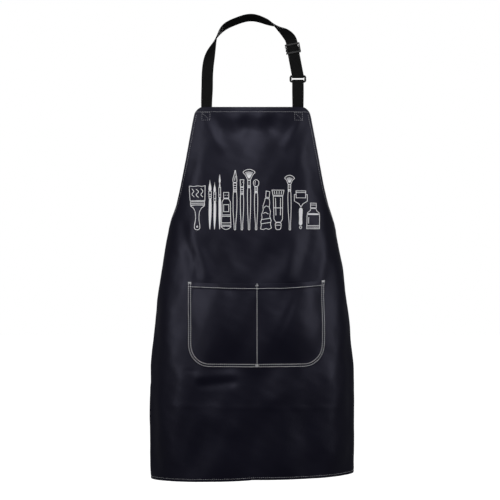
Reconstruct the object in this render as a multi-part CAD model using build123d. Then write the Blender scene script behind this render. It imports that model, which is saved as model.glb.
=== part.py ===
from build123d import *
import os
from math import asin, atan2, cos, degrees, exp, hypot, log, pi, radians, sin, sqrt

# A bib apron for painting, as it hangs on a wearer: coated cloth body with a print and a
# two-room pocket, a webbing neck strap with a slider and a square ring, and two waist ties.
# +X is to the viewer's right, -Y is the front, +Z is up. The origin is the inside top of the
# neck strap, where a neck or a hook carries it. Helpers work in cloth coordinates: "u" runs
# round the cloth from its front line, "v" runs down from the top edge of the bib, and "lift"
# is the height over the front face of the cloth.

# ------------------------------------------------------------------ driving dimensions, mm
# cloth body
BODY_LENGTH = 800.0          # top edge of the bib to the hem
CUT_WIDTH = 600.0            # flat width below the armholes
BIB_WIDTH = 252.0            # flat width of the top edge
BIB_CORNER = 18.0            # rounding of the two top corners
ARMHOLE_DEPTH = 300.0        # top edge to the waist corners
ARMHOLE_FLARE = 73.0         # width that each armhole gains evenly on its way down
ARMHOLE_POWER = 6            # how late the rest of the width comes
WAIST_CORNER = 16.0          # rounding of the waist corners
HEM_CORNER = 40.0            # rounding of the two bottom corners
CLOTH = 0.8                  # thickness of the coated cloth
GAP = 0.35                   # clear space between two layers that lie on each other

# the wearer that the cloth hangs round, as half an oval at each height
CHEST_HALF_WIDTH = 174.0
HIP_HALF_WIDTH = 226.0
HIP_START = 210.0            # where the figure starts to widen
HIP_DEPTH = 650.0            # where it is widest
CHEST_HALF_DEPTH = 90.0
HEM_HALF_DEPTH = 132.0

# hems and thread rows
TOP_HEM = 12.0
SIDE_HEM = 8.0
BOTTOM_HEM = 7.0
THREAD = 0.8                 # width of a row of sewing thread
THREAD_HEIGHT = 0.4

# pocket
POCKET_WIDTH = 306.0         # flat, from side to side
POCKET_HEIGHT = 184.0
POCKET_TOP = 375.0           # from the top edge of the bib
POCKET_SHIFT = 10.0          # its middle lies this far right of the front line
POCKET_CORNER = 50.0
POCKET_HEM = 12.0
POCKET_GAPE = 14.0           # how far each mouth stands open
POCKET_SEAM = 8.0            # flat margin along the sides and the bottom
POCKET_ROW_1 = 3.0           # outer thread row, from the pocket's edge
POCKET_ROW_2 = 8.0           # inner thread row

# webbing, straps and hardware
WEBBING = 25.0               # width of every strap
WEBBING_THICK = 1.4
STRAP_ROOT = 101.0           # each strap end, sideways from the front line
STRAP_TUCK = 30.0            # length sewn behind the bib
ROOT_SAG = 0.5               # the flat strap end stands this far off the curved bib
RING_RISE = 61.0             # middle of the ring over the top edge of the bib
RING_BAR = 4.5               # its bars' diameter
RING_SLOT = 7.0              # clear height inside it
RING_WIDTH = WEBBING + 2     # clear width inside it
RING_X = 98.0
RING_DEPTH = 26.0            # behind the front line
SLIDER_RISE = 126.0
SLIDER_X = 87.0
SLIDER_WIDTH = WEBBING + 7
SLIDER_HEIGHT = 21.0
SLIDER_RAIL = 3.2            # side rails and outer bars
NECK_DROP = 201.0            # inside top of the strap over the top edge of the bib
NECK_REACH = 116.0           # back of the neck behind the front line
SPLIT_GAP = 1.2              # between the strap and its sewn left end

# waist ties, tied in a bow behind
TIE_TUCK = 32.0
BOW_LOOP = 95.0
BOW_TAIL = 230.0
KNOT_WIDTH = 26.0
KNOT_HEIGHT = 34.0
KNOT_DEPTH = 18.0
KNOT_CLEAR = 2.0             # space between the knot and the webbing that leaves it

STRAP_END = 22.0             # length of the strap's end, folded round the slider's middle bar
# print, pressed on as thin films: each figure's middle x and its (height over the foot, half
# width) pairs as seen from the front; the feet stand on one line across the chest
PRINT_FOOT = 263.0           # below the top edge of the bib
FILM = 0.3
FIGURES = {
    "print_flat_brush": (-118, ((0, 3.5), (6, 6), (44, 4), (52, 15), (58, 17), (94, 17))),
    "print_round_brush": (-91, ((0, 1.5), (30, 3), (80, 2.5), (106, 1))),
    "print_thin_brush": (-81, ((0, 1.5), (30, 3), (78, 2.5), (102, 1))),
    "print_liner_brush": (-70, ((0, 1.5), (34, 3), (88, 2.5), (118, 1.5))),
    "print_paint_tube": (-56, ((0, 11), (8, 10), (60, 9), (66, 6), (80, 6))),
    "print_pointed_brush": (-37, ((0, 1.5), (34, 4), (98, 3.5), (112, 4), (126, 1))),
    "print_narrow_brush": (-22, ((0, 1.5), (34, 3), (80, 3.5), (106, 3.5))),
    "print_fan_brush": (-7, ((0, 1.5), (34, 3), (90, 3), (106, 4), (128, 13))),
    "print_mop_brush": (8, ((0, 1.5), (34, 3), (84, 3), (94, 6), (106, 4))),
    "print_squeezed_tube": (29, ((0, 12), (10, 12), (60, 9), (70, 5), (84, 5))),
    "print_cap_down_tube": (55, ((0, 5), (14, 5), (22, 9), (72, 10), (84, 13))),
    "print_fan_brush_small": (80, ((0, 1.5), (34, 3), (84, 3), (96, 4), (116, 11))),
    "print_brayer": (104, ((0, 3), (40, 4), (44, 3), (64, 14), (84, 14))),
    "print_ink_bottle": (131, ((0, 14), (30, 14), (44, 7), (58, 7))),
}
# modelling
STEP = 5.0                   # stride of the walk round the figure's oval
PARTS = "parts"


# ------------------------------------------------------------------ cloth coordinates
def place(x, depth, v):
    """Point at x, depth behind the front line and v below the bib's top edge."""
    return Vector(x, depth - NECK_REACH, -NECK_DROP - v)


def half_width(v):
    """Half width of the figure's oval at height v."""
    share = min(max((v - HIP_START) / (HIP_DEPTH - HIP_START), 0.0), 1.0)
    return CHEST_HALF_WIDTH + (HIP_HALF_WIDTH - CHEST_HALF_WIDTH) * sin(share * pi / 2)


def half_depth(v):
    """Half depth of the figure's oval at height v."""
    return CHEST_HALF_DEPTH + (HEM_HALF_DEPTH - CHEST_HALF_DEPTH) * v / BODY_LENGTH


def turn_at(u, v):
    """Angle round the oval at distance u from the front line."""
    wide, deep = half_width(v), half_depth(v)
    count = max(2, round(abs(u) / STEP))
    stride = u / count
    turn = 0.0
    for _ in range(count):
        half = turn + stride / 2 / hypot(wide * cos(turn), deep * sin(turn))
        turn += stride / hypot(wide * cos(half), deep * sin(half))
    return turn


def skin(u, v, lift=0.0):
    """Point over the cloth's front face."""
    turn = turn_at(u, v)
    wide, deep = half_width(v), half_depth(v)
    out = hypot(deep * sin(turn), wide * cos(turn))
    x = wide * sin(turn) + lift * deep * sin(turn) / out
    depth = deep * (1 - cos(turn)) - lift * wide * cos(turn) / out
    return place(x, depth, v)


def u_of_x(x, v):
    """Distance round the cloth of a point seen at x from straight in front."""
    target = asin(x / half_width(v))
    low, high = (0.0, 2 * abs(x) + 1)
    for _ in range(40):
        middle = (low + high) / 2
        if turn_at(middle, v) < abs(target):
            low = middle
        else:
            high = middle
    return middle if x >= 0 else -middle


# ------------------------------------------------------------------ solids from grids
def slab(outer, inner):
    """Closed sheet between two grids of points of the same size."""
    front = Face.make_surface_from_array_of_points(outer, tol=0.01, min_deg=1, max_deg=3)
    back = Face.make_surface_from_array_of_points(inner, tol=0.01, min_deg=1, max_deg=3)
    sides = []
    for a, b in zip(front.edges(), back.edges()):
        sides.append(Face.make_surface_from_curves(a, b))
    return Solid(Shell([front, back] + sides))


def ribbon(stations, width=WEBBING, thick=WEBBING_THICK):
    """Flat webbing along (centre, across) stations."""
    shares = (-0.5, -0.17, 0.17, 0.5)
    grids = ([], [])
    last = len(stations) - 1
    for i, (centre, across) in enumerate(stations):
        along = stations[min(i + 1, last)][0] - stations[max(i - 1, 0)][0]
        across = across.normalized()
        out = along.cross(across).normalized()
        for grid, side in zip(grids, (0.5, -0.5)):
            base = centre + out * (side * thick)
            grid.append([base + across * (share * width) for share in shares])
    return slab(*grids)


def thread_row(path, surface):
    """Row of thread along flat (u, v) points; surface(u, v, height) places a point of it."""
    grids = ([], [])
    last = len(path) - 1
    for i, (u, v) in enumerate(path):
        du = path[min(i + 1, last)][0] - path[max(i - 1, 0)][0]
        dv = path[min(i + 1, last)][1] - path[max(i - 1, 0)][1]
        size = hypot(du, dv)
        for grid, height in zip(grids, (THREAD_HEIGHT, 0.0)):
            row = []
            for share in (-0.5, -0.17, 0.17, 0.5):
                side = share * THREAD / size
                row.append(surface(u - dv * side, v + du * side, height))
            grid.append(row)
    return slab(*grids)


def on_body(u, v, height):
    """Point at a height over the front of the body cloth."""
    return skin(u, v, GAP + height)


# ------------------------------------------------------------------ cloth body
def soft_min(a, b, blend):
    """The smaller of two values, with a rounded change-over."""
    return min(a, b) - blend * log(1 + exp(-abs(a - b) / blend))


def edge_u(v):
    """Flat half width of the body at height v, without the four rounded corners."""
    share = v / ARMHOLE_DEPTH
    rest = (CUT_WIDTH - BIB_WIDTH) / 2 - ARMHOLE_FLARE
    armhole = BIB_WIDTH / 2 + ARMHOLE_FLARE * share + rest * share ** ARMHOLE_POWER
    return soft_min(armhole, CUT_WIDTH / 2, WAIST_CORNER / 4)


def outline(inset=0.0, top_inset=0.0, bottom_inset=0.0):
    """(u, v) points down the right edge, moved inwards by the insets."""
    points = []
    corner_end = radians(80)
    top_radius = BIB_CORNER - inset / 2
    for i in range(7):
        turn = corner_end * (1 - i / 6)
        v = top_inset + top_radius * (1 - sin(turn) / sin(corner_end))
        points.append((edge_u(v) - inset - top_radius * (1 - cos(turn)), v))
    start = top_inset + top_radius
    end = BODY_LENGTH - bottom_inset - (HEM_CORNER - inset / 2)
    heights = [start + (ARMHOLE_DEPTH - 30 - start) * i / 16 for i in range(1, 17)]
    heights += [ARMHOLE_DEPTH - 30 + 4 * i for i in range(1, 15)]
    first = heights[-1]
    heights += [first + (end - first) * i / 12 for i in range(1, 13)]
    for v in heights:
        points.append((edge_u(v) - inset, v))
    bottom_radius = HEM_CORNER - inset / 2
    for i in range(1, 9):
        turn = corner_end * i / 8
        v = end + bottom_radius * sin(turn) / sin(corner_end)
        points.append((edge_u(v) - inset - bottom_radius * (1 - cos(turn)), v))
    return points


def body_panel():
    """The one large piece of cloth."""
    outer, inner = [], []
    columns = 28
    for edge, v in outline():
        row = [edge * (2 * i / columns - 1) for i in range(columns + 1)]
        outer.append([skin(u, v) for u in row])
        inner.append([skin(u, v, -CLOTH) for u in row])
    return slab(outer, inner)



# ------------------------------------------------------------------ thread rows of the body
def body_threads():
    """Hem stitching of the body, one row to a node."""
    top = [(BIB_WIDTH / 2 * (i / 10 - 1) * 0.97, TOP_HEM - 1.5) for i in range(21)]
    line = outline(inset=SIDE_HEM - 1.5)
    side = [p for p in line if BIB_CORNER < p[1] < BODY_LENGTH - HEM_CORNER]
    armhole = [p for p in side if p[1] < ARMHOLE_DEPTH - 3 * THREAD]
    straight = [p for p in side if p[1] > ARMHOLE_DEPTH + 3 * THREAD]
    corner = [p for p in outline(BOTTOM_HEM - 1.5, 0, BOTTOM_HEM - 1.5) if p[1] > side[-1][1] + 1]
    end_u, end_v = corner[-1]
    bottom = [(end_u * (1 - i / 40), end_v) for i in range(1, 81)]
    left = [(-u, v) for u, v in reversed(corner)]
    nodes = {"top_hem_thread": [top], "bottom_hem_thread": [corner + bottom[:-1] + left]}
    for name, sign in (("left", -1), ("right", 1)):
        nodes[f"armhole_thread_{name}"] = [[(sign * u, v) for u, v in armhole]]
        nodes[f"side_hem_thread_{name}"] = [[(sign * u, v) for u, v in straight]]
    threads = {}
    for name, paths in nodes.items():
        threads[name] = Compound([thread_row(path, on_body) for path in paths])
    return threads


# ------------------------------------------------------------------ pocket
def pocket_lift(u, v):
    """Height of the pocket's inner face over the body, at a flat distance u from its middle."""
    across = abs(u) / (POCKET_WIDTH / 2 - POCKET_SEAM)
    down = (v - POCKET_TOP) / (POCKET_HEIGHT - POCKET_SEAM)
    if not 0 < across < 1 or down > 1:
        return GAP
    return GAP + POCKET_GAPE * sin(pi * across) ** 2 * (1 - max(down, 0.0)) ** 1.4


def pocket_u(u):
    """Distance round the body of a point of the pocket, from the apron's front line."""
    return u + POCKET_SHIFT


def pocket_outline(inset):
    """Flat outline of the pocket, open at its mouth, as (u, v) points."""
    half = POCKET_WIDTH / 2 - inset
    bottom = POCKET_TOP + POCKET_HEIGHT - inset
    radius = POCKET_CORNER - inset
    side = [(half, POCKET_TOP + 6 + (bottom - radius - POCKET_TOP - 6) * i / 10) for i in range(10)]
    corner = []
    for i in range(13):
        turn = pi / 2 * i / 12
        corner.append((half - radius * (1 - cos(turn)), bottom - radius * (1 - sin(turn))))
    base = [((half - radius) * (1 - i / 10), bottom) for i in range(1, 11)]
    right = side + corner + base
    return right + [(-u, v) for u, v in reversed(right[:-1])]


def pocket_panel():
    """The pocket cloth, sewn down along its sides, bottom and middle, open at the top."""
    radius = POCKET_CORNER
    bottom = POCKET_TOP + POCKET_HEIGHT
    rows = [(POCKET_WIDTH / 2, POCKET_TOP + (POCKET_HEIGHT - radius) * i / 10) for i in range(11)]
    for i in range(1, 11):
        turn = radians(82) * i / 10
        down = radius * sin(turn) / sin(radians(82))
        rows.append((POCKET_WIDTH / 2 - radius * (1 - cos(turn)), bottom - radius + down))
    outer, inner = [], []
    columns = 48
    for half, v in rows:
        across = [half * (2 * i / columns - 1) for i in range(columns + 1)]
        outer.append([skin(pocket_u(u), v, pocket_lift(u, v) + CLOTH) for u in across])
        inner.append([skin(pocket_u(u), v, pocket_lift(u, v)) for u in across])
    return slab(outer, inner)


def on_pocket(u, v, height):
    """Point at a height over the front of the pocket cloth."""
    return skin(pocket_u(u), v, pocket_lift(u, v) + CLOTH + GAP + height)


def pocket_threads():
    """The white stitching of the pocket."""
    half = POCKET_WIDTH / 2 - POCKET_ROW_2 - THREAD
    mouth_v = POCKET_TOP + POCKET_HEM - 1.5
    left = [(-half + (half - 2 * THREAD) * i / 16, mouth_v) for i in range(17)]
    right = [(-u, v) for u, v in reversed(left)]
    low = POCKET_TOP + POCKET_HEIGHT - POCKET_ROW_2 - THREAD
    divider = [(0.0, POCKET_TOP + 1 + (low - POCKET_TOP - 1) * i / 12) for i in range(13)]
    return {
        "pocket_mouth_thread": Compound([thread_row(left, on_pocket), thread_row(right, on_pocket)]),
        "pocket_outer_thread": Compound([thread_row(pocket_outline(POCKET_ROW_1), on_pocket)]),
        "pocket_inner_thread": Compound([thread_row(pocket_outline(POCKET_ROW_2), on_pocket)]),
        "pocket_divider_thread": Compound([thread_row(divider, on_pocket)]),
    }


# ------------------------------------------------------------------ print
def print_film(middle, profile):
    """One figure of the heat-pressed print, as a thin film over the cloth."""
    grids = ([], [])
    rows = []
    for (low, wide), (high, narrow) in zip(profile, profile[1:]):
        count = max(2, round((high - low) / 8))
        for i in range(count):
            share = i / count
            rows.append((low + (high - low) * share, wide + (narrow - wide) * share))
    rows.append(profile[-1])
    for height, half in rows:
        v = PRINT_FOOT - height
        ends = u_of_x(middle - half, v), u_of_x(middle + half, v)
        for grid, top in zip(grids, (FILM, 0.0)):
            steps = [ends[0] + (ends[1] - ends[0]) * i / 4 for i in range(5)]
            grid.append([skin(u, v, GAP + top) for u in steps])
    return slab(*grids)


# ------------------------------------------------------------------ webbing at the bib
def root_across(side):
    """Direction across a strap that lies flat behind the bib."""
    slope = skin(side * STRAP_ROOT + 1, 0) - skin(side * STRAP_ROOT - 1, 0)
    return Vector(slope.X, slope.Y, 0).normalized()


def root_centre(side, v, layer):
    """Middle of a strap behind the bib, counting layers of webbing from the cloth."""
    lift = -CLOTH - GAP - ROOT_SAG - WEBBING_THICK / 2 - layer * (WEBBING_THICK + GAP)
    return skin(side * STRAP_ROOT, max(v, 0.0), lift) + Vector(0, 0, max(-v, 0.0))


def ease(share):
    """Smooth change from 0 to 1."""
    share = min(max(share, 0.0), 1.0)
    return share * share * (3 - 2 * share)


def ring_fold():
    """Radius at which webbing turns round a bar of the ring."""
    return RING_BAR / 2 + 2 * GAP + WEBBING_THICK / 2


def split_rise():
    """Height over the bib of the ring's lower bar, where the strap is parted."""
    return RING_RISE - (RING_SLOT + RING_BAR) / 2


def left_end():
    """Sewn left end of the neck strap, up to the height of the ring's lower bar."""
    stations = []
    rise = split_rise() - SPLIT_GAP / 2
    target = strap_path()[0][0]
    for i in range(21):
        up = -STRAP_TUCK + (rise + STRAP_TUCK) * i / 20
        share = ease(up / rise)
        centre = root_centre(-1, -up, 0)
        centre += Vector(target.X - centre.X, target.Y - centre.Y, 0) * share
        stations.append((centre, root_across(-1) * (1 - share) + Vector(1, 0, 0) * share))
    return ribbon(stations)


def ring_tab():
    """Webbing folded over the ring's lower bar, both ends sewn behind the bib."""
    rise = split_rise()
    fold = ring_fold()
    top = place(RING_X, RING_DEPTH, -rise)
    stations = []
    for layer, sign in ((0, -1), (1, 1)):
        leg = []
        for i in range(18):
            up = -STRAP_TUCK + (rise + STRAP_TUCK) * i / 18
            share = ease(up / rise)
            centre = root_centre(1, -up, layer)
            goal = top + Vector(0, sign * fold, 0)
            centre += Vector(goal.X - centre.X, goal.Y - centre.Y, 0) * share
            across = root_across(1) * (1 - share) + Vector(1, 0, 0) * share
            leg.append((centre, across))
        if layer == 0:
            stations += leg
            for i in range(13):
                turn = pi * i / 12
                stations.append((top + Vector(0, -fold * cos(turn), fold * sin(turn)), Vector(1, 0, 0)))
        else:
            stations += reversed(leg)
    return ribbon(stations)


# ------------------------------------------------------------------ ring and slider
def ring():
    """Square ring of round bars."""
    half_x = (RING_WIDTH + RING_BAR) / 2
    half_z = (RING_SLOT + RING_BAR) / 2
    corners = [(-half_x, -half_z), (-half_x, half_z), (half_x, half_z), (half_x, -half_z)]
    with BuildPart() as part:
        with BuildLine(Plane.XZ) as line:
            FilletPolyline(*corners, radius=RING_BAR * 0.6, close=True)
        with BuildSketch(Plane(line.line @ 0, z_dir=line.line % 0)):
            Circle(RING_BAR / 2)
        sweep()
    return part.part.moved(Location(place(RING_X, RING_DEPTH, -RING_RISE)))


def strand_foot():
    """Centre of the strap just over its turn round the ring's upper bar, front side."""
    fold = ring_fold()
    return place(RING_X, RING_DEPTH - fold, -RING_RISE - (RING_SLOT + RING_BAR) / 2)


def slider_centre():
    """Middle of the strap inside the slider."""
    foot = strand_foot()
    return Vector(SLIDER_X, foot.Y, -NECK_DROP + SLIDER_RISE)


def strand_across():
    """Direction across the straight strand between ring and slider."""
    run = slider_centre() - strand_foot()
    return Vector(run.Z, 0, -run.X).normalized()


def slider_lean():
    """Tilt of the slider in the front view, degrees."""
    across = strand_across()
    return degrees(atan2(-across.Z, across.X))


def slider():
    """Slider with two slots: outer bars before the strap, middle bar behind it."""
    slot = WEBBING_THICK + 2 * GAP
    bar = SLIDER_RAIL
    loop = WEBBING_THICK + GAP
    with BuildPart() as part:
        for side in (-1, 1):
            x = side * (SLIDER_WIDTH - bar) / 2
            with BuildSketch(Plane.XZ.offset(slot / 2 + bar)):
                with Locations((x, 0)):
                    RectangleRounded(bar, SLIDER_HEIGHT, bar * 0.45)
            extrude(amount=-(2 * bar + slot + loop))
            with BuildSketch(Plane.XZ.offset(slot / 2 + bar)):
                with Locations((0, side * (SLIDER_HEIGHT - bar) / 2)):
                    RectangleRounded(SLIDER_WIDTH - bar, bar, bar * 0.3)
            extrude(amount=-bar)
        with Locations(Location((0, slot / 2 + loop + bar / 2, 0), (0, 90, 0))):
            Cylinder(bar / 2, SLIDER_WIDTH - bar)
    place_at = Location(slider_centre()) * Location((0, 0, 0), (0, slider_lean(), 0))
    return part.part.moved(place_at)


# ------------------------------------------------------------------ neck strap
def strap_path():
    """(centre, across) stations from the parting over the neck and down to the slider."""
    rise = split_rise() + SPLIT_GAP / 2
    knots = (
        place(-97, RING_DEPTH, -rise), place(-94.5, 29, -95), place(-88, 40, -127), place(-77, 60, -158),
        place(-61, 84, -181), place(-36, 106, -197), place(0, NECK_REACH + 2, -NECK_DROP - 6),
        place(30, 105, -197), place(45, 86, -189), place(57, 66, -179), place(67.5, 48, -168),
        place(76, 34, -157), place(82, 26, -147),
    )
    run = strand_foot() - slider_centre()
    down = run.normalized()
    above = slider_centre() - down * (SLIDER_HEIGHT / 2 + 1)
    line = Spline(*knots, above, tangents=(Vector(0, 0.05, 1), down))
    stations = []
    count = 44
    for i in range(count + 1):
        share = i / count
        along = line % share
        stations.append((line @ share, twisted(share, along)))
    for i in range(1, 15):
        stations.append((above + (strand_foot() - above) * (i / 15), strand_across() * -1))
    return stations


def twisted(share, along):
    """Direction across the strap at a share of its arch: flat in front, level over the neck."""
    front_left = Vector(1, 0, 0)
    front_right = strand_across()
    neck = Vector(0.0, 0.85, -0.53)
    if share < 0.5:
        turn = ease(share / 0.42)
        across = front_left * (1 - turn) + neck * -turn
    else:
        turn = ease((1 - share) / 0.42)
        across = front_right * (turn - 1) + neck * -turn
    across -= along * across.dot(along)
    return across.normalized()


def neck_strap():
    """The strap from its parting, over the neck, through the slider and round the ring."""
    fold = ring_fold()
    bar = strand_foot() + Vector(0, fold, 0)
    stations = strap_path()
    for i in range(13):
        turn = pi * i / 12
        across = strand_across() * (sin(turn) - 1) + Vector(-1, 0, 0) * sin(turn)
        stations.append((bar + Vector(0, -fold * cos(turn), -fold * sin(turn)), across))
    return ribbon(stations)


def slider_point(depth, rise):
    """Point behind the strap's middle in the slider, and along the strand from it."""
    up = (slider_centre() - strand_foot()).normalized()
    return slider_centre() + Vector(0, depth, 0) + up * rise


def end_fold_depths():
    """Depth of the slider's middle bar and radius of the webbing folded round it."""
    bar = WEBBING_THICK / 2 + GAP + WEBBING_THICK + GAP + SLIDER_RAIL / 2
    return bar, SLIDER_RAIL / 2 + GAP + WEBBING_THICK / 2


def strap_end():
    """End of the neck strap, folded round the slider's middle bar and sewn to itself."""
    bar, fold = end_fold_depths()
    back = bar + fold
    front_low = back - WEBBING_THICK - GAP
    stations = []
    for i in range(12):
        share = i / 12
        depth = front_low + (bar - fold - front_low) * ease(share)
        stations.append((slider_point(depth, -STRAP_END * (1 - share)), strand_across()))
    for i in range(13):
        turn = pi * i / 12
        centre = slider_point(bar - fold * cos(turn), fold * sin(turn))
        stations.append((centre, strand_across()))
    for i in range(1, 13):
        stations.append((slider_point(back, -STRAP_END * i / 12), strand_across()))
    return ribbon(stations)


def strap_return():
    """The strand that comes back up from the ring to the slider."""
    bar, fold = end_fold_depths()
    top = slider_point(bar + fold, -STRAP_END - GAP)
    low = strand_foot() + Vector(0, 2 * ring_fold(), 0)
    low += (top - low).normalized() * 2 * GAP
    return ribbon([(low + (top - low) * (i / 8), strand_across()) for i in range(9)])


def strap_end_thread():
    """Box stitch through the folded strap end, seen from behind."""
    bar, fold = end_fold_depths()
    depth = bar + fold + WEBBING_THICK / 2 + GAP + THREAD_HEIGHT / 2
    inset = 3.0
    half = WEBBING / 2 - inset
    rows = []
    for rise in (-6.0, -STRAP_END + inset):
        row = [slider_point(depth, rise) + strand_across() * (half * (i / 4 - 1)) for i in range(9)]
        up = slider_point(0, 1) - slider_point(0, 0)
        rows.append(ribbon([(p, up) for p in row], THREAD, THREAD_HEIGHT))
    return Compound(rows)


# ------------------------------------------------------------------ waist ties
def tie_height():
    return ARMHOLE_DEPTH + WEBBING / 2 + 6


def half_round(v):
    """Distance round the figure from the front line to the middle of the back."""
    a, b = half_width(v), half_depth(v)
    return pi / 2 * (3 * (a + b) - sqrt((3 * a + b) * (a + 3 * b)))


def knot_centre():
    v = tie_height()
    return place(0, 2 * half_depth(v) + KNOT_DEPTH / 2 - 3, v)


def tie_run(side):
    """Waist tie from its sewn end inside the waist corner to the knot behind."""
    v = tie_height()
    start = CUT_WIDTH / 2 - TIE_TUCK
    end = half_round(v) - KNOT_WIDTH / 2 - KNOT_CLEAR
    lift = -CLOTH - 2 * GAP - WEBBING_THICK / 2
    stations = []
    for i in range(29):
        u = start + (end - start) * i / 28
        across = skin(side * u, v - WEBBING / 2, lift) - skin(side * u, v + WEBBING / 2, lift)
        stations.append((skin(side * u, v, lift), across))
    return ribbon(stations)


def bow_loop(side):
    """Open loop of the bow, drooping a little."""
    knot = knot_centre()
    root = KNOT_WIDTH / 2 + KNOT_CLEAR
    route = (
        (root, -5, 3), (root + BOW_LOOP * 0.4, -9, 6), (root + BOW_LOOP * 0.86, -7, -11),
        (root + BOW_LOOP, 1, -17), (root + BOW_LOOP * 0.86, 9, -14),
        (root + BOW_LOOP * 0.4, 9, 0), (root, 5, -3),
    )
    level = (Vector(side, 0, 0), Vector(-side, 0, 0))
    line = Spline(*[knot + Vector(side * x, y, z) for x, y, z in route], tangents=level)
    return ribbon([(line @ (i / 36), bow_across(line % (i / 36))) for i in range(37)])


def bow_across(along):
    """Direction across a loop that stays near upright."""
    up = Vector(0, 0, 1)
    return up - along * along.dot(up)


def bow_tail(side):
    """Free end of the tie, hanging below the knot."""
    knot = knot_centre()
    depth = side * 3.0
    top = KNOT_HEIGHT / 2 + KNOT_CLEAR
    route = (
        (6, depth, -top), (16, depth + 2, -top - BOW_TAIL * 0.3),
        (24, depth - 3, -top - BOW_TAIL * 0.65), (28, depth, -top - BOW_TAIL),
    )
    line = Spline(*[knot + Vector(side * x, y, z) for x, y, z in route])
    turned = Vector(1, 0.25 * side, 0)
    stations = []
    for i in range(25):
        along = line % (i / 24)
        stations.append((line @ (i / 24), turned - along * along.dot(turned)))
    return ribbon(stations)


def bow_knot():
    """The turn of webbing pulled tight round the middle of the bow."""
    with BuildPart() as part:
        with BuildSketch(Plane.XZ.offset(-KNOT_DEPTH / 2)):
            RectangleRounded(KNOT_WIDTH, KNOT_HEIGHT, 8)
        extrude(amount=KNOT_DEPTH)
        fillet(part.faces().sort_by(Axis.Y)[0].edges(), 5)
        fillet(part.faces().sort_by(Axis.Y)[-1].edges(), 5)
    return part.part.moved(Location(knot_centre()))


# ------------------------------------------------------------------ small stitches
def box_stitch(u, v, wide, high):
    """Four rows of thread round a rectangle of the cloth, corners left open."""
    tall, broad = high - 4 * THREAD, wide - 4 * THREAD
    rows = []
    for side in (-0.5, 0.5):
        rows.append([(u + side * wide, v + tall * (i / 4 - 0.5)) for i in range(5)])
        rows.append([(u + broad * (i / 6 - 0.5), v + side * high) for i in range(7)])
    return [thread_row(row, on_body) for row in rows]


def bartacks():
    """Dense short stitches at the pocket's two corners and at both ends of its middle row."""
    half = POCKET_WIDTH / 2 - (POCKET_ROW_1 + POCKET_ROW_2) / 2
    low = POCKET_TOP + POCKET_HEIGHT - POCKET_ROW_1 / 2 - POCKET_ROW_2 / 2
    tacks = []
    for u, v, wide in ((-half, POCKET_TOP + 2.5, 7), (half, POCKET_TOP + 2.5, 7), (0, low, 6)):
        grids = ([], [])
        for i in range(4):
            b = v - 0.8 + 1.6 * i / 3
            for grid, top in zip(grids, (THREAD_HEIGHT * 2, THREAD_HEIGHT + GAP)):
                across = [u + wide * (share - 0.5) for share in (0.2, 0.4, 0.6, 0.8)]
                grid.append([on_pocket(a, b, top) for a in across])
        tacks.append(slab(*grids))
    return Compound(tacks)


def main():
    os.makedirs(PARTS, exist_ok=True)
    nodes = {
        "body_panel": body_panel(),
        "pocket_panel": pocket_panel(),
        "neck_strap": neck_strap(),
        "strap_left_end": left_end(),
        "ring_tab": ring_tab(),
        "square_ring": ring(),
        "slider": slider(),
        "strap_end": strap_end(),
        "strap_return": strap_return(),
        "strap_end_thread": strap_end_thread(),
        "bow_knot": bow_knot(),
        "pocket_bartacks": bartacks(),
    }
    nodes.update(body_threads())
    nodes.update(pocket_threads())
    for name, side in (("left", -1), ("right", 1)):
        nodes[f"waist_tie_{name}"] = Compound([tie_run(side), bow_loop(side), bow_tail(side)])
        root_v = (TOP_HEM + STRAP_TUCK) / 2
        root = box_stitch(side * STRAP_ROOT, root_v, WEBBING - 7, STRAP_TUCK - TOP_HEM - 4)
        tie_u = (CUT_WIDTH - SIDE_HEM - TIE_TUCK) / 2
        tie = box_stitch(side * tie_u, tie_height(), TIE_TUCK - SIDE_HEM - 5, WEBBING - 7)
        nodes[f"strap_thread_{name}"] = Compound(root)
        nodes[f"tie_thread_{name}"] = Compound(tie)
    for name, (middle, profile) in FIGURES.items():
        nodes[name] = print_film(middle, profile)
    for name, shape in nodes.items():
        export_step(shape, f"{PARTS}/{name}.step")


if __name__ == "__main__":
    main()
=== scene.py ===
"""Looks of a bib apron for painting, built around its packed design."""
import math

import bpy
import bmesh
import numpy as np
from bpy.props import FloatProperty, FloatVectorProperty, IntProperty, PointerProperty
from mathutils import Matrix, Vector


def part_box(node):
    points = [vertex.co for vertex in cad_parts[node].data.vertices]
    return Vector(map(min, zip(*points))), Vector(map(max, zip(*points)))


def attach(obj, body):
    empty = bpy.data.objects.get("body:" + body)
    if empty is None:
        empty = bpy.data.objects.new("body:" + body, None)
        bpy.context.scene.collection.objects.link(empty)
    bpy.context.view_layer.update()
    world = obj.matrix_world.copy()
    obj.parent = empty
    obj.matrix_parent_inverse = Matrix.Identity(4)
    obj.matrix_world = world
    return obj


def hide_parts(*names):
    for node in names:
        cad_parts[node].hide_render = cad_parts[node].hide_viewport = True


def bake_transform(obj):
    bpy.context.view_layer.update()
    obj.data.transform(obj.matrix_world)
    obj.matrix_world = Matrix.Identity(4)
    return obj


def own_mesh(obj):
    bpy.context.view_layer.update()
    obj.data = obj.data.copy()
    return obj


bl_info = {
    "name": "Painting apron",
    "version": (1, 0, 0),
    "blender": (4, 5, 0),
    "location": "View3D > Sidebar > Apron",
    "description": "Builds the cloth, print, stitching, webbing and stage of a painting apron",
    "category": "Object",
}

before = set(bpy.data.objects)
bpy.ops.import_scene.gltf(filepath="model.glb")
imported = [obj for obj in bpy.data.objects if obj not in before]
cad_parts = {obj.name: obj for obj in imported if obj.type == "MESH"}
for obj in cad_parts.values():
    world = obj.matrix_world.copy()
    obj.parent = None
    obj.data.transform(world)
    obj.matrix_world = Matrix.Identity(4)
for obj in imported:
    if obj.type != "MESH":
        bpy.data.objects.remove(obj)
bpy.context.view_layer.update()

MM = 0.001

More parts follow.
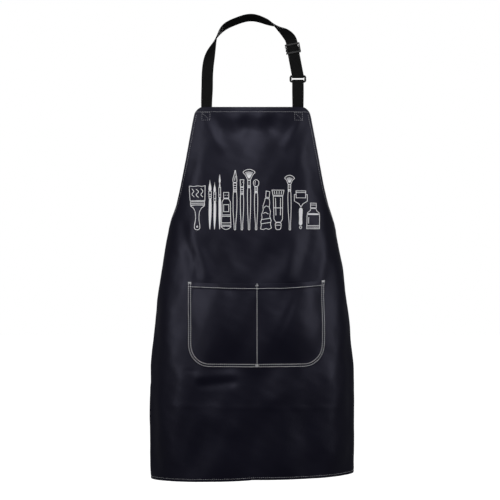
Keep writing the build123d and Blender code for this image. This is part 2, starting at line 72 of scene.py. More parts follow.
# ------------------------------------------------------------------ places read from the design
PANEL_LOW, PANEL_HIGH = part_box("body_panel")
POCKET_LOW, POCKET_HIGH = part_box("pocket_panel")
RING_LOW, RING_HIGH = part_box("square_ring")
KNOT_LOW, KNOT_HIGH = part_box("bow_knot")
BIB_Z = PANEL_HIGH.z                      # top edge of the bib
FRONT_Y = PANEL_LOW.y                     # front line of the cloth
LENGTH = PANEL_HIGH.z - PANEL_LOW.z

# ------------------------------------------------------------------ flat sizes of the cloth, metres
CUT_HALF = 0.300
BIB_HALF = 0.126
BIB_CORNER = 0.018
ARMHOLE_DEPTH = 0.300
ARMHOLE_FLARE = 0.073
ARMHOLE_POWER = 6
WAIST_BLEND = 0.004
HEM_CORNER = 0.040
CHEST_HALF_WIDTH = 0.174
HIP_HALF_WIDTH = 0.226
HIP_START = 0.210
HIP_DEPTH = 0.650
CHEST_HALF_DEPTH = 0.090
HEM_HALF_DEPTH = 0.132
TOP_HEM = 0.012
SIDE_HEM = 0.008
BOTTOM_HEM = 0.007
STITCH_IN = 0.0015                        # a hem's thread row, in from the hem's inner edge

POCKET_HALF = 0.153
POCKET_HEIGHT = POCKET_HIGH.z - POCKET_LOW.z
POCKET_TOP = BIB_Z - POCKET_HIGH.z
POCKET_SHIFT = 0.010
POCKET_CORNER = 0.050
POCKET_HEM = 0.012
POCKET_SEAM = 0.008
POCKET_ROWS = (0.003, 0.008)
MOUTH_SAG = 0.004                         # of the mouth's middle under its ends
MOUTH_RISE = 0.004                        # of the mouth's right end

WEB = 0.025
WEB_THICK = 0.0014
STRAP_ROOT = 0.101
STRAP_TUCK = 0.030
TIE_TUCK = 0.032
LAYER_GAP = 0.00035
SEWN_GAP = 0.0005                         # more room between a sewn strap and the hem
TIE_V = ARMHOLE_DEPTH + WEB / 2 + 0.006   # middle of a tie, below the bib's top edge

SEWN_IN = 0.004                           # a sewn tie's last point, in from the cloth's edge

# ------------------------------------------------------------------ small relief, metres
FOLD_STEP = 0.0003                        # over which a hem falls to the single cloth
SEAM_STEP = 0.0004                        # the same for the pocket's turned-in seam
SEAM_FOLD = 0.010                         # width of that seam's fold
HEM_GROOVE = 0.0009                       # half widths of the grooves that stitches press
POCKET_GROOVE = 0.0010
DIVIDER_GROOVE = 0.0012
OUTER_PRESS = 0.00022                     # depths of those grooves
INNER_PRESS = 0.00018
POCKET_PRESS = 0.00025
POCKET_REST = 0.00012                     # the pocket's seam over the body cloth
NORMAL_STEP = 0.0008                      # over which the cloth's slope is measured
HEM_THREAD_LIFT = 0.00008
POCKET_THREAD_LIFT = 0.00010
BOX_STITCH = 0.0026                       # length of a stitch in a box of stitches


# ------------------------------------------------------------------ settings
class ApronCloth(bpy.types.PropertyGroup):
    thickness: FloatProperty(name="Cloth thickness", description="One layer of coated cloth",
                             default=0.0005, unit="LENGTH")
    hem_layers: IntProperty(name="Hem layers", description="Layers of cloth in a hem", default=3)
    color: FloatVectorProperty(name="Cloth colour", description="Front of the coated cloth",
                               default=(0.0036, 0.0034, 0.0080), size=3, subtype="COLOR")
    back_color: FloatVectorProperty(name="Back colour", description="Uncoated back of the cloth",
                                    default=(0.019, 0.019, 0.027), size=3, subtype="COLOR")
    fold_height: FloatProperty(name="Fold height", description="Scale of the soft folds",
                               default=0.72)
    gape: FloatProperty(name="Pocket gape", description="How far each pocket mouth stands open",
                        default=0.007, unit="LENGTH")
    belly: FloatProperty(name="Pocket belly",
                         description="How far the filled-out pocket sags forward",
                         default=0.0100, unit="LENGTH")
    rows: IntProperty(name="Cloth rows", description="Grid rows of the body cloth", default=190)
    columns: IntProperty(name="Cloth columns", description="Grid columns of the body cloth",
                         default=136)


class ApronThread(bpy.types.PropertyGroup):
    pitch: FloatProperty(name="Stitch pitch", description="Distance from stitch to stitch",
                         default=0.0042, unit="LENGTH")
    length: FloatProperty(name="Stitch length", description="Length of thread that shows",
                          default=0.0031, unit="LENGTH")
    width: FloatProperty(name="Thread width", description="Width of the pocket thread",
                         default=0.00125, unit="LENGTH")
    hem_width: FloatProperty(name="Hem thread width", description="Width of the hem thread",
                             default=0.0008, unit="LENGTH")
    pocket_color: FloatVectorProperty(name="Pocket thread",
                                      description="Colour of the pocket thread",
                                      default=(0.86, 0.86, 0.88), size=3, subtype="COLOR")
    hem_color: FloatVectorProperty(name="Hem thread", description="Colour of the hem thread",
                                   default=(0.42, 0.42, 0.45), size=3, subtype="COLOR")


class ApronPrint(bpy.types.PropertyGroup):
    line: FloatProperty(name="Print line", description="Width of the print's lines",
                        default=0.00125, unit="LENGTH")
    film: FloatProperty(name="Film thickness", description="Thickness of the pressed film",
                        default=0.00012, unit="LENGTH")
    color: FloatVectorProperty(name="Print colour", description="Colour of the pressed film",
                               default=(0.88, 0.88, 0.90), size=3, subtype="COLOR")


class ApronWebbing(bpy.types.PropertyGroup):
    ribs: IntProperty(name="Ribs", description="Lengthwise ribs across the webbing", default=14)
    relief: FloatProperty(name="Rib relief", description="Height of a rib", default=0.00010,
                          unit="LENGTH")
    color: FloatVectorProperty(name="Webbing colour", description="Colour of the straps",
                               default=(0.004, 0.004, 0.0042), size=3, subtype="COLOR")
    plastic: FloatVectorProperty(name="Plastic colour", description="Colour of the slider and ring",
                                 default=(0.006, 0.006, 0.0062), size=3, subtype="COLOR")


class ApronStage(bpy.types.PropertyGroup):
    distance: FloatProperty(name="Camera distance", description="From the front of the cloth",
                            default=3.2, unit="LENGTH")
    frame_width: FloatProperty(name="Frame width",
                               description="Width seen at the front of the cloth",
                               default=1.0667, unit="LENGTH")
    eye_drop: FloatProperty(name="Eye height", description="Camera below the top edge of the bib",
                            default=0.307, unit="LENGTH")
    eye_side: FloatProperty(name="Eye side", description="Camera beside the front line",
                            default=-0.005, unit="LENGTH")
    floor_drop: FloatProperty(name="Floor drop", description="Floor below the hem",
                              default=0.50, unit="LENGTH")


# ------------------------------------------------------------------ shape of the hanging cloth
def half_width(v):
    share = np.clip((v - HIP_START) / (HIP_DEPTH - HIP_START), 0, 1)
    return CHEST_HALF_WIDTH + (HIP_HALF_WIDTH - CHEST_HALF_WIDTH) * np.sin(share * np.pi / 2)


def half_depth(v):
    return CHEST_HALF_DEPTH + (HEM_HALF_DEPTH - CHEST_HALF_DEPTH) * v / LENGTH


def turn_at(u, v):
    """Angle round the wearer's oval at distance u from the front line."""
    wide, deep = half_width(v), half_depth(v)
    steps = 48
    stride = u / steps
    turn = np.zeros_like(u)
    for _ in range(steps):
        half = turn + stride / 2 / np.hypot(wide * np.cos(turn), deep * np.sin(turn))
        turn = turn + stride / np.hypot(wide * np.cos(half), deep * np.sin(half))
    return turn


def oval(u, v):
    """Point and level outward direction of the plain hanging cloth."""
    turn = turn_at(u, v)
    wide, deep = half_width(v), half_depth(v)
    point = np.stack([wide * np.sin(turn), FRONT_Y + deep * (1 - np.cos(turn)), BIB_Z - v], -1)
    out = np.stack([deep * np.sin(turn), -wide * np.cos(turn), np.zeros_like(turn)], -1)
    return point, out / np.linalg.norm(out, axis=-1, keepdims=True)


def fall(x):
    """Smooth step from 1 down to 0 as x passes 0."""
    return 0.5 - 0.5 * np.tanh(x / 2)


def ridge(distance, half):
    """A rounded rise of height 1 along a line, and how it fades on both its sides."""
    return np.exp(-(distance / half) ** 2)


def soft_min(a, b, blend):
    """The smaller of two, with a rounded change from one to the other."""
    return np.minimum(a, b) - blend * np.log(1 + np.exp(-np.abs(a - b) / blend))


def edge_u(v):
    """Flat half width of the body cloth at height v, before its four rounded corners."""
    share = v / ARMHOLE_DEPTH
    rest = CUT_HALF - BIB_HALF - ARMHOLE_FLARE
    armhole = BIB_HALF + ARMHOLE_FLARE * share + rest * share ** ARMHOLE_POWER
    return soft_min(armhole, CUT_HALF, WAIST_BLEND)


def corner_cut(from_end, radius):
    """How far a rounded corner draws the edge in, at a distance from that end."""
    near = np.clip(1 - from_end / radius, 0, 1)
    return radius * (1 - np.sqrt(np.clip(1 - (near * 0.985) ** 2, 0, 1)))


def cloth_edge(v):
    return edge_u(v) - corner_cut(v, BIB_CORNER) - corner_cut(LENGTH - v, HEM_CORNER)


# Soft folds of the hanging cloth: start (u, v), end (u, v), half width and height, millimetres.
FOLDS = (
    # scallops under the top hem
    ((-78, 14), (-66, 66), 13, -2.2), ((-44, 12), (-40, 58), 15, 2.4),
         ((-14, 12), (-18, 62), 12, -2.4),
    ((14, 12), (16, 50), 12, 2.0), ((44, 12), (38, 64), 14, -2.4), ((72, 14), (60, 58), 12, 1.8),
    ((-110, 20), (-60, 100), 10, 1.6), ((110, 22), (66, 92), 10, 1.6),
         ((-78, 47), (78, 46), 21, -5.0),
    # long soft folds down the sides of the bib
    ((-112, 40), (-120, 210), 22, 2.4), ((-74, 80), (-86, 240), 24, -2.0),
    ((104, 50), (128, 230), 24, 2.6), ((70, 70), (80, 250), 26, -2.2), ((0, 90), (6, 330), 46, 2.0),
    # waist, between the print and the pocket
    ((-168, 240), (-120, 372), 16, -3.2), ((-140, 262), (-98, 370), 14, 2.8),
    ((-104, 282), (-66, 372), 15, -2.4), ((-60, 300), (-30, 372), 16, 2.2),
    ((40, 300), (34, 372), 18, -2.0), ((92, 270), (70, 372), 16, 2.4),
         ((134, 250), (104, 372), 16, -3.0),
    ((176, 262), (150, 372), 14, 2.6), ((-210, 300), (-186, 520), 26, 3.0),
         ((214, 310), (190, 540), 26, 3.0),
    # below the pocket
    ((-150, 560), (-190, 770), 26, 5.0), ((-96, 600), (-120, 792), 24, -5.0),
    ((-40, 570), (-52, 792), 28, 5.4), ((14, 560), (0, 792), 24, -5.4),
         ((62, 566), (58, 792), 26, 4.6),
    ((120, 580), (118, 792), 24, -3.6), ((176, 560), (190, 780), 26, 4.4),
         ((236, 420), (246, 790), 20, -3.4),
    ((-244, 420), (-240, 790), 20, -3.6), ((-272, 600), (-268, 790), 10, 3.0),
    ((-120, 598), (-30, 588), 9, -3.0), ((-126, 580), (-36, 572), 10, 2.4),
    ((20, 640), (120, 590), 16, 2.0), ((-30, 700), (-110, 650), 18, 2.6),
    # small creases from packing
    ((-150, 566), (-122, 567), 2.2, -1.1), ((-142, 452), (-128, 320), 5, 0.9),
    ((-128, 208), (-60, 206), 3, 0.35), ((60, 214), (142, 210), 3, 0.35),
    ((-200, 640), (200, 648), 5, 0.5), ((-180, 470), (-240, 474), 4, 0.5),
         ((190, 470), (250, 466), 4, 0.5),
)

FALL_BACK = 0.010                         # how far the hem hangs back of the front line
FALL_START, FALL_SPAN = 0.50, 0.30        # where that begins, and over what height
LEFT_DROP = 0.013                         # how much lower the hem hangs at the viewer's left
DROP_START, DROP_SPAN = 0.55, 0.25
DROP_REACH = 0.27                         # distance round the cloth to the full drop
TOP_DIP, DIP_FADE = 0.0016, 0.05          # of the top edge between the straps
CALM = 0.03                               # width of the flatter cloth along the edges

# Slow waves: direction in turns, wave length and height in millimetres, phase.
WAVES = ((0.03, 96, 0.7, 0.4), (0.11, 71, 0.5, 2.2), (0.94, 83, 0.6, 4.1), (0.22, 124, 0.8, 1.3),
         (0.41, 47, 0.22, 5.0), (0.07, 38, 0.16, 3.3), (0.86, 29, 0.10, 0.9), (0.31, 21, 0.05, 2.8))


def fold_height(u, v):
    """Height of the folds and slow waves over the plain cloth, in metres."""
    a, b = u / MM, v / MM
    total = np.zeros_like(a)
    for (u0, v0), (u1, v1), width, height in FOLDS:
        du, dv = u1 - u0, v1 - v0
        size = math.hypot(du, dv)
        along = ((a - u0) * du + (b - v0) * dv) / size ** 2
        across = ((a - u0) * dv - (b - v0) * du) / size
        side = width * 0.9 + 1.0
        fade = fall((0.3 * side - along * size) / (0.35 * side))
        fade = fade * fall(((along - 1) * size + 0.3 * side) / (0.35 * side))
        total += height * fade * ridge(across, width)
    for direction, wave, height, phase in WAVES:
        way = direction * 2 * math.pi
        turned = (a * math.cos(way) + b * math.sin(way)) * 2 * math.pi / wave
        total += height * np.sin(turned + phase)
    return total * MM * bpy.context.scene.apron_cloth.fold_height * calm(u, v)


def calm(u, v):
    """Share of the folds that is left near the edges, which the hems hold flatter."""
    from_edge = np.clip((edge_u(v) - np.abs(u)) / CALM, 0, 1)
    from_top = np.clip(v / CALM, 0, 1)
    return (0.35 + 0.65 * from_edge) * (0.25 + 0.75 * from_top)


def top_dip(u, v):
    """Small dip of the top edge between the straps."""
    return -TOP_DIP * (np.exp(-v / DIP_FADE) * np.clip(1 - (u / STRAP_ROOT) ** 2, 0, 1))


def cloth_point(u, v):
    """Point of the hanging cloth, with its folds and the swing of its hem."""
    point, out = oval(u, v)
    point = point + out * fold_height(u, v)[..., None]
    point[..., 1] += FALL_BACK * np.clip((v - FALL_START) / FALL_SPAN, 0, 1) ** 2
    leftward = np.clip(-u / DROP_REACH, 0, 1) ** 0.8
    downward = np.clip((v - DROP_START) / DROP_SPAN, 0, 1) ** 1.5
    point[..., 2] += top_dip(u, v) - LEFT_DROP * leftward * downward
    return point


def on_cloth(u, v, lift=0.0):
    """Points over the draped front face of the body cloth."""
    u, v = np.asarray(u, float), np.asarray(v, float)
    u, v, lift = np.broadcast_arrays(u, v, np.asarray(lift, float))
    point = cloth_point(u, v)
    du = cloth_point(u + NORMAL_STEP, v) - cloth_point(u - NORMAL_STEP, v)
    dv = cloth_point(u, v + NORMAL_STEP) - cloth_point(u, v - NORMAL_STEP)
    normal = np.cross(dv, du)
    normal /= np.linalg.norm(normal, axis=-1, keepdims=True)
    return point + normal * lift[..., None]


def pocket_lift(a, v):
    """Height of the pocket's inner face over the body cloth; a runs from the pocket's middle."""
    a, v = np.broadcast_arrays(np.asarray(a, float), np.asarray(v, float))
    across = np.clip(np.abs(a) / (POCKET_HALF - POCKET_SEAM), 0, 1)
    down = np.clip((v - POCKET_TOP) / (POCKET_HEIGHT - POCKET_SEAM), 0, 1)
    settings = bpy.context.scene.apron_cloth
    bulge = np.sin(np.pi * across) ** 1.5 * (1 - down) ** 1.3
    sag = settings.belly * np.sin(np.pi * across) ** 0.9 * np.sin(np.pi * down) ** 1.2
    side = np.where(a > 0, 1.0, -1.0)
    ripple = 0.0006 * np.sin(a / 0.0125 + 0.4 * side) * np.sin(np.pi * across) * (1 - down) ** 0.5
    dent = 0.0012 * ridge(a - 0.095 + (v - POCKET_TOP) * 0.45, 0.008)
    dent = dent * np.clip(down * 3, 0, 1) * np.clip((1 - down) * 2, 0, 1)
    small = np.where(across < 1, ripple * 0.6 - dent, 0) * bulge ** 0.3
    return POCKET_REST + settings.gape * bulge + sag + small


# ------------------------------------------------------------------ mesh helpers
def placed(name, data):
    """A new object in the scene."""
    obj = bpy.data.objects.new(name, data)
    bpy.context.scene.collection.objects.link(obj)
    return obj


def new_object(name, points, faces, material, smooth=True, uvs=None):
    mesh = bpy.data.meshes.new(name)
    mesh.from_pydata([tuple(p) for p in points], [], [tuple(f) for f in faces])
    if uvs is not None:
        layer = mesh.uv_layers.new(name="flat")
        loops = np.zeros(len(mesh.loops), int)
        mesh.loops.foreach_get("vertex_index", loops)
        layer.data.foreach_set("uv", np.asarray(uvs, float)[loops].ravel())
    mesh.materials.append(material)
    mesh.polygons.foreach_set("use_smooth", [smooth] * len(mesh.polygons))
    mesh.update()
    return placed(name, mesh)


def weld(obj, distance=2e-6, recalc=True):
    mesh = bmesh.new()
    mesh.from_mesh(obj.data)
    bmesh.ops.remove_doubles(mesh, verts=mesh.verts, dist=distance)
    bmesh.ops.dissolve_degenerate(mesh, dist=1e-7, edges=mesh.edges)
    if recalc:
        bmesh.ops.recalc_face_normals(mesh, faces=mesh.faces)
    mesh.to_mesh(obj.data)
    mesh.free()
    return obj


def mount(obj, node_name, body="apron"):
    """Ties a piece to its body and hides the design's part for the node that it stands for."""
    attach(obj, body)
    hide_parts(node_name)
    return obj


def join(objects, name):
    """One object made of several, with the first one's materials."""
    with bpy.context.temp_override(active_object=objects[0], selected_editable_objects=objects):
        bpy.ops.object.join()
    objects[0].name = name
    return objects[0]


def grid_faces(rows, columns, start=0, flip=False):
    index = start + np.arange(rows * columns).reshape(rows, columns)
    quads = np.stack([index[:-1, :-1], index[:-1, 1:], index[1:, 1:], index[1:, :-1]],
                     -1).reshape(-1, 4)
    return quads[:, ::-1] if flip else quads


def shell(name, outer, inner, uvs, front, back):
    """Closed cloth from an outer and an inner grid that meet along their edges."""
    rows, columns = outer.shape[:2]
    points = np.concatenate([outer.reshape(-1, 3), inner.reshape(-1, 3)])
    faces = np.concatenate([grid_faces(rows, columns, 0, True),
                            grid_faces(rows, columns, rows * columns)])
    obj = new_object(name, points, faces, front, uvs=np.concatenate([uvs.reshape(-1, 2)] * 2))
    obj.data.materials.append(back)
    half = (rows - 1) * (columns - 1)
    obj.data.polygons.foreach_set("material_index", [0] * half + [1] * half)
    return weld(obj, recalc=False)


def rows_down(top, bottom, length, count):
    """Heights of a cloth's rows, close together along its top and its bottom."""
    between = np.linspace(top[-1], length - bottom[-1], count + 1)[1:]
    return np.concatenate([top, between, length - bottom[-2::-1]])


def spread(edge, near, shares):
    """Distances across a cloth, one row for each edge, close together along both its sides."""
    middle = shares[None, :] * (edge - near[-1])[:, None]
    return np.concatenate([-(edge[:, None] - near[None, :-1]), middle,
                           edge[:, None] - near[None, -2::-1]], 1)


def edge_profile(distance, thick):
    """Outer and inner lift of a sheet with a round edge; the front face is at lift 0."""
    inside = np.clip(distance / (thick / 2), 0, 1)
    half = thick / 2 * np.sqrt(np.clip(1 - (1 - inside) ** 2, 0, 1))
    return half - thick / 2, -half - thick / 2


# ------------------------------------------------------------------ materials
def material(name, build):
    """A material by name, built once."""
    found = bpy.data.materials.get(name)
    if found:
        return found
    made = bpy.data.materials.new(name)
    made.use_nodes = True
    nodes, links = made.node_tree.nodes, made.node_tree.links
    shader = nodes["Principled BSDF"]
    build(nodes, links, shader)
    return made


def node(nodes, kind, **values):
    made = nodes.new(kind)
    for key, value in values.items():
        if key in made.inputs:
            made.inputs[key].default_value = value
        else:
            setattr(made, key, value)
    return made


def in_space(nodes):
    """Coordinates over the whole object."""
    return node(nodes, "ShaderNodeTexCoord").outputs["Object"]


def on_flat(nodes):
    """Coordinates on the flat sheet, in metres."""
    return node(nodes, "ShaderNodeUVMap", uv_map="flat").outputs["UV"]


def noise(nodes, links, source, scale, detail=3.0, rough=0.5):
    made = node(nodes, "ShaderNodeTexNoise", Scale=scale, Detail=detail, Roughness=rough)
    links.new(source, made.inputs["Vector"])
    return made.outputs["Fac"]


def mapped(nodes, links, source, low, high):
    made = node(nodes, "ShaderNodeMapRange")
    made.inputs["To Min"].default_value = low
    made.inputs["To Max"].default_value = high
    links.new(source, made.inputs["Value"])
    return made.outputs["Result"]


def math_node(nodes, links, kind, first, second):
    made = node(nodes, "ShaderNodeMath", operation=kind)
    for socket, value in zip(made.inputs, (first, second)):
        if isinstance(value, (int, float)):
            socket.default_value = value
        else:
            links.new(value, socket)
    return made.outputs["Value"]


def bump(nodes, links, shader, height, distance, strength=1.0, below=None):
    made = node(nodes, "ShaderNodeBump", Strength=strength, Distance=distance)
    links.new(height, made.inputs["Height"])
    if below is not None:
        links.new(below, made.inputs["Normal"])
    links.new(made.outputs["Normal"], shader.inputs["Normal"])
    return made.outputs["Normal"]


def weave(nodes, links, source, spacing):
    """Height of a plain weave with threads this far apart, from flat coordinates in metres."""
    split = node(nodes, "ShaderNodeSeparateXYZ")
    links.new(source, split.inputs["Vector"])
    waves = []
    for axis in ("X", "Y"):
        turned = math_node(nodes, links, "MULTIPLY", split.outputs[axis], math.pi / spacing)
        waves.append(math_node(nodes, links, "SINE", turned, 0.0))
    product = math_node(nodes, links, "MULTIPLY", waves[0], waves[1])
    return math_node(nodes, links, "ABSOLUTE", product, 0.0)


def tinted(nodes, links, shader, factor, dark, light):
    ramp = node(nodes, "ShaderNodeValToRGB")
    ramp.color_ramp.elements[0].color = (*dark, 1)
    ramp.color_ramp.elements[1].color = (*light, 1)
    links.new(factor, ramp.inputs["Fac"])
    links.new(ramp.outputs["Color"], shader.inputs["Base Color"])


def scaled(color, factor):
    return tuple(c * factor for c in color)


def cloth_front(nodes, links, shader):
    settings = bpy.context.scene.apron_cloth
    place = in_space(nodes)
    flat = on_flat(nodes)
    tinted(nodes, links, shader, noise(nodes, links, place, 9.0, 5.0),
           scaled(settings.color, 0.8), scaled(settings.color, 1.25))
    rough = mapped(nodes, links, noise(nodes, links, place, 26.0, 4.0), 0.40, 0.47)
    links.new(rough, shader.inputs["Roughness"])
    shader.inputs["Specular IOR Level"].default_value = 0.27
    shader.inputs["Specular Tint"].default_value = (0.76, 0.76, 1.0, 1.0)
    shader.inputs["Sheen Weight"].default_value = 0.03
    shader.inputs["Sheen Roughness"].default_value = 0.45
    shader.inputs["Sheen Tint"].default_value = (0.72, 0.74, 1.0, 1.0)
    crinkle = bump(nodes, links, shader, noise(nodes, links, place, 55.0, 4.0, 0.5), 0.0007, 0.35)
    bump(nodes, links, shader, weave(nodes, links, flat, 0.00055), 0.000012, 0.8, crinkle)


def cloth_back(nodes, links, shader):
    settings = bpy.context.scene.apron_cloth
    flat = on_flat(nodes)
    place = in_space(nodes)
    tinted(nodes, links, shader, noise(nodes, links, place, 14.0, 5.0),
           scaled(settings.back_color, 0.8), scaled(settings.back_color, 1.3))
    shader.inputs["Roughness"].default_value = 0.72
    shader.inputs["Sheen Weight"].default_value = 0.2
    bump(nodes, links, shader, weave(nodes, links, flat, 0.00055), 0.00004, 1.0)


def thread_look(color):
    def build(nodes, links, shader):
        place = in_space(nodes)
        tinted(nodes, links, shader, noise(nodes, links, place, 900.0, 2.0), scaled(color, 0.82),
               color)
        shader.inputs["Roughness"].default_value = 0.55
        shader.inputs["Sheen Weight"].default_value = 0.25
        bump(nodes, links, shader, noise(nodes, links, place, 3500.0, 2.0), 0.00006, 0.6)
    return build


def film_look(nodes, links, shader):
    color = tuple(bpy.context.scene.apron_print.color)
    place = in_space(nodes)
    tinted(nodes, links, shader, noise(nodes, links, place, 260.0, 4.0), scaled(color, 0.86), color)
    rough = mapped(nodes, links, noise(nodes, links, place, 120.0), 0.48, 0.66)
    links.new(rough, shader.inputs["Roughness"])
    bump(nodes, links, shader, noise(nodes, links, place, 700.0, 4.0), 0.00005, 0.5)


def webbing_look(nodes, links, shader):
    settings = bpy.context.scene.apron_webbing
    color = tuple(settings.color)
    flat = on_flat(nodes)
    place = in_space(nodes)
    split = node(nodes, "ShaderNodeSeparateXYZ")
    links.new(flat, split.inputs["Vector"])
    rib = math_node(nodes, links, "MULTIPLY", split.outputs["X"], math.pi * settings.ribs / WEB)
    rib = math_node(nodes, links, "ABSOLUTE", math_node(nodes, links, "SINE", rib, 0.0), 0.0)
    weft = math_node(nodes, links, "MULTIPLY", split.outputs["Y"], math.pi / 0.00085)
    shifted = math_node(nodes, links, "MULTIPLY", split.outputs["X"], math.pi / 0.0012)
    weft = math_node(nodes, links, "SINE", math_node(nodes, links, "ADD", weft, shifted), 0.0)
    height = math_node(nodes, links, "MULTIPLY", rib,
                       math_node(nodes, links, "ABSOLUTE", weft, 0.0))
    # Painted shade: the colour follows the rib and weft height, so the valleys between ribs are
    # painted darker. The noise adds random tone.
    rib_valley_shade_and_tone = math_node(nodes, links, "ADD", math_node(nodes, links, "MULTIPLY", height, 0.6),
                     math_node(nodes, links, "MULTIPLY", noise(nodes, links, place, 40.0), 0.5))
    tinted(nodes, links, shader, rib_valley_shade_and_tone, scaled(color, 0.4), scaled(color, 1.3))
    shader.inputs["Roughness"].default_value = 0.68
    shader.inputs["Specular IOR Level"].default_value = 0.12
    bump(nodes, links, shader, height, 0.00022, 0.9)


def plastic_look(nodes, links, shader):
    color = tuple(bpy.context.scene.apron_webbing.plastic)
    place = in_space(nodes)
    tinted(nodes, links, shader, noise(nodes, links, place, 80.0), scaled(color, 0.8),
           scaled(color, 1.4))
    rough = mapped(nodes, links, noise(nodes, links, place, 240.0, 4.0), 0.34, 0.46)
    links.new(rough, shader.inputs["Roughness"])
    shader.inputs["Specular IOR Level"].default_value = 0.22
    bump(nodes, links, shader, noise(nodes, links, place, 1500.0, 2.0), 0.00004, 0.35)


def look(name):
    threads = bpy.context.scene.apron_thread
    builders = {
        "satin_cloth": cloth_front, "cloth_back": cloth_back, "print_film": film_look,
        "ribbed_webbing": webbing_look, "moulded_plastic": plastic_look,
        "pocket_thread": thread_look(tuple(threads.pocket_color)),
        "hem_thread": thread_look(tuple(threads.hem_color)),
        "webbing_thread": thread_look((0.02, 0.02, 0.021)),
    }
    return material(name, builders[name])


# ------------------------------------------------------------------ body cloth
def body_cloth():
    settings = bpy.context.scene.apron_cloth
    thin, hem = settings.thickness, settings.thickness * settings.hem_layers
    near = np.array([0, 0.15, 0.4, 0.8, 2, 4, 5.5, 6.5, 7.5, 8.2, 10]) * MM
    top = np.array([0, 0.15, 0.4, 0.8, 2, 5, 8, 9.7, 10.5, 11.3, 11.9, 12.4, 15]) * MM
    bottom = np.array([0, 0.15, 0.4, 0.8, 2, 4, 5.5, 6.3, 6.9, 7.4, 9, 12, 16, 21, 27, 33, 40]) * MM
    v = rows_down(top, bottom, LENGTH, settings.rows)
    edge = cloth_edge(v)
    u = spread(edge, near, np.linspace(-1, 1, settings.columns + 1))
    v = np.repeat(v[:, None], u.shape[1], 1)
    from_side = edge[:, None] - np.abs(u)
    inset = np.minimum(np.minimum(from_side, v), LENGTH - v)
    beyond_hem = (from_side - SIDE_HEM, v - TOP_HEM, LENGTH - v - BOTTOM_HEM)
    folded = np.maximum.reduce([fall(beyond / FOLD_STEP) for beyond in beyond_hem])
    groove = np.maximum.reduce([ridge(beyond + STITCH_IN, HEM_GROOVE) for beyond in beyond_hem])
    thick = thin + (hem - thin) * folded
    outer_lift, inner_lift = edge_profile(inset, thick)
    pucker = 0.00018 * np.sin(v / 0.0021 + 2 * np.sin(v / 0.013)) * np.sin(u / 0.0023) * folded
    groove = groove * np.clip(inset / thick, 0, 1)
    outer = on_cloth(u, v, outer_lift - OUTER_PRESS * groove + pucker)
    inner = on_cloth(u, v, inner_lift + INNER_PRESS * groove + pucker)
    cloth = shell("body_cloth", outer, inner, np.stack([u, -v], -1), look("satin_cloth"),
                  look("cloth_back"))
    return mount(cloth, "body_panel")


# ------------------------------------------------------------------ pocket
def pocket_cloth():
    settings = bpy.context.scene.apron_cloth
    thin, hem = settings.thickness, settings.thickness * settings.hem_layers
    near = np.array([0, 0.15, 0.4, 0.9, 2.2, 3.0, 3.8, 5.5, 7.2, 8.0, 8.8, 11]) * MM
    top = np.array([0, 0.15, 0.4, 0.9, 3, 6, 8.5, 9.7, 10.5, 11.3, 11.9, 12.4, 15]) * MM
    bottom = np.array([0, 0.15, 0.4, 0.9, 2.2, 3.0, 3.8, 5.5, 7.2, 8.0, 8.8, 11, 15, 20, 26, 33, 41,
                       50]) * MM
    down = rows_down(top, bottom, POCKET_HEIGHT, 36)
    edge = POCKET_HALF - corner_cut(POCKET_HEIGHT - down, POCKET_CORNER)
    a = spread(edge, near, np.linspace(-1, 1, 97))
    down = np.repeat(down[:, None], a.shape[1], 1)
    v = down + POCKET_TOP
    side = edge[:, None] - np.abs(a)
    inset = np.minimum(np.minimum(side, down), POCKET_HEIGHT - down)
    radial = pocket_inset(a, down)
    folded_hem = fall((down - POCKET_HEM) / FOLD_STEP)
    folded_side = fall((radial - SEAM_FOLD) / SEAM_STEP) / 2
    thick = thin + (hem - thin) * np.maximum(folded_hem, folded_side)
    outer_lift, inner_lift = edge_profile(inset, thick)
    rows = [ridge(radial - row, POCKET_GROOVE) for row in POCKET_ROWS]
    rows.append(ridge(down - POCKET_HEM + STITCH_IN, POCKET_GROOVE))
    rows.append(ridge(a, DIVIDER_GROOVE))
    groove = np.maximum.reduce(rows)
    pucker = 0.00025 * np.sin((a + v) / 0.0022) * ridge(radial, 0.012)
    base = pocket_lift(a, v) + thick + mouth_roll(a, down)
    relief = (pucker - POCKET_PRESS * groove) * np.clip(inset / thick, 0, 1)
    outer = on_cloth(a + POCKET_SHIFT, mouth_line(a, v), base + outer_lift + relief)
    inner = on_cloth(a + POCKET_SHIFT, mouth_line(a, v), base + inner_lift)
    cloth = shell("pocket_cloth", outer, inner, np.stack([a, -v], -1), look("satin_cloth"),
                  look("cloth_back"))
    return mount(cloth, "pocket_panel")


def mouth_line(a, v):
    """Height of a pocket point; the mouth sags in the middle and rises at the right."""
    up = np.clip(1 - (v - POCKET_TOP) / POCKET_HEIGHT, 0, 1) ** 2
    share = a / POCKET_HALF
    return v + up * (MOUTH_SAG * (1 - share ** 2) - MOUTH_RISE * np.clip(share, 0, 1) ** 2)


def mouth_roll(a, down):
    """The mouth edge leans a little further out than the cloth below it."""
    across = np.clip(np.abs(a) / (POCKET_HALF - POCKET_SEAM), 0, 1)
    return 0.0012 * np.sin(np.pi * across) * np.exp(-down / 0.010)


def pocket_inset(a, down):
    """Distance in from the pocket's sewn outline: sides, bottom and rounded corners."""
    side = POCKET_HALF - np.abs(a)
    base = POCKET_HEIGHT - down
    corner = POCKET_CORNER - np.hypot(POCKET_CORNER - side, POCKET_CORNER - base)
    return np.where((side < POCKET_CORNER) & (base < POCKET_CORNER), corner, np.minimum(side, base))


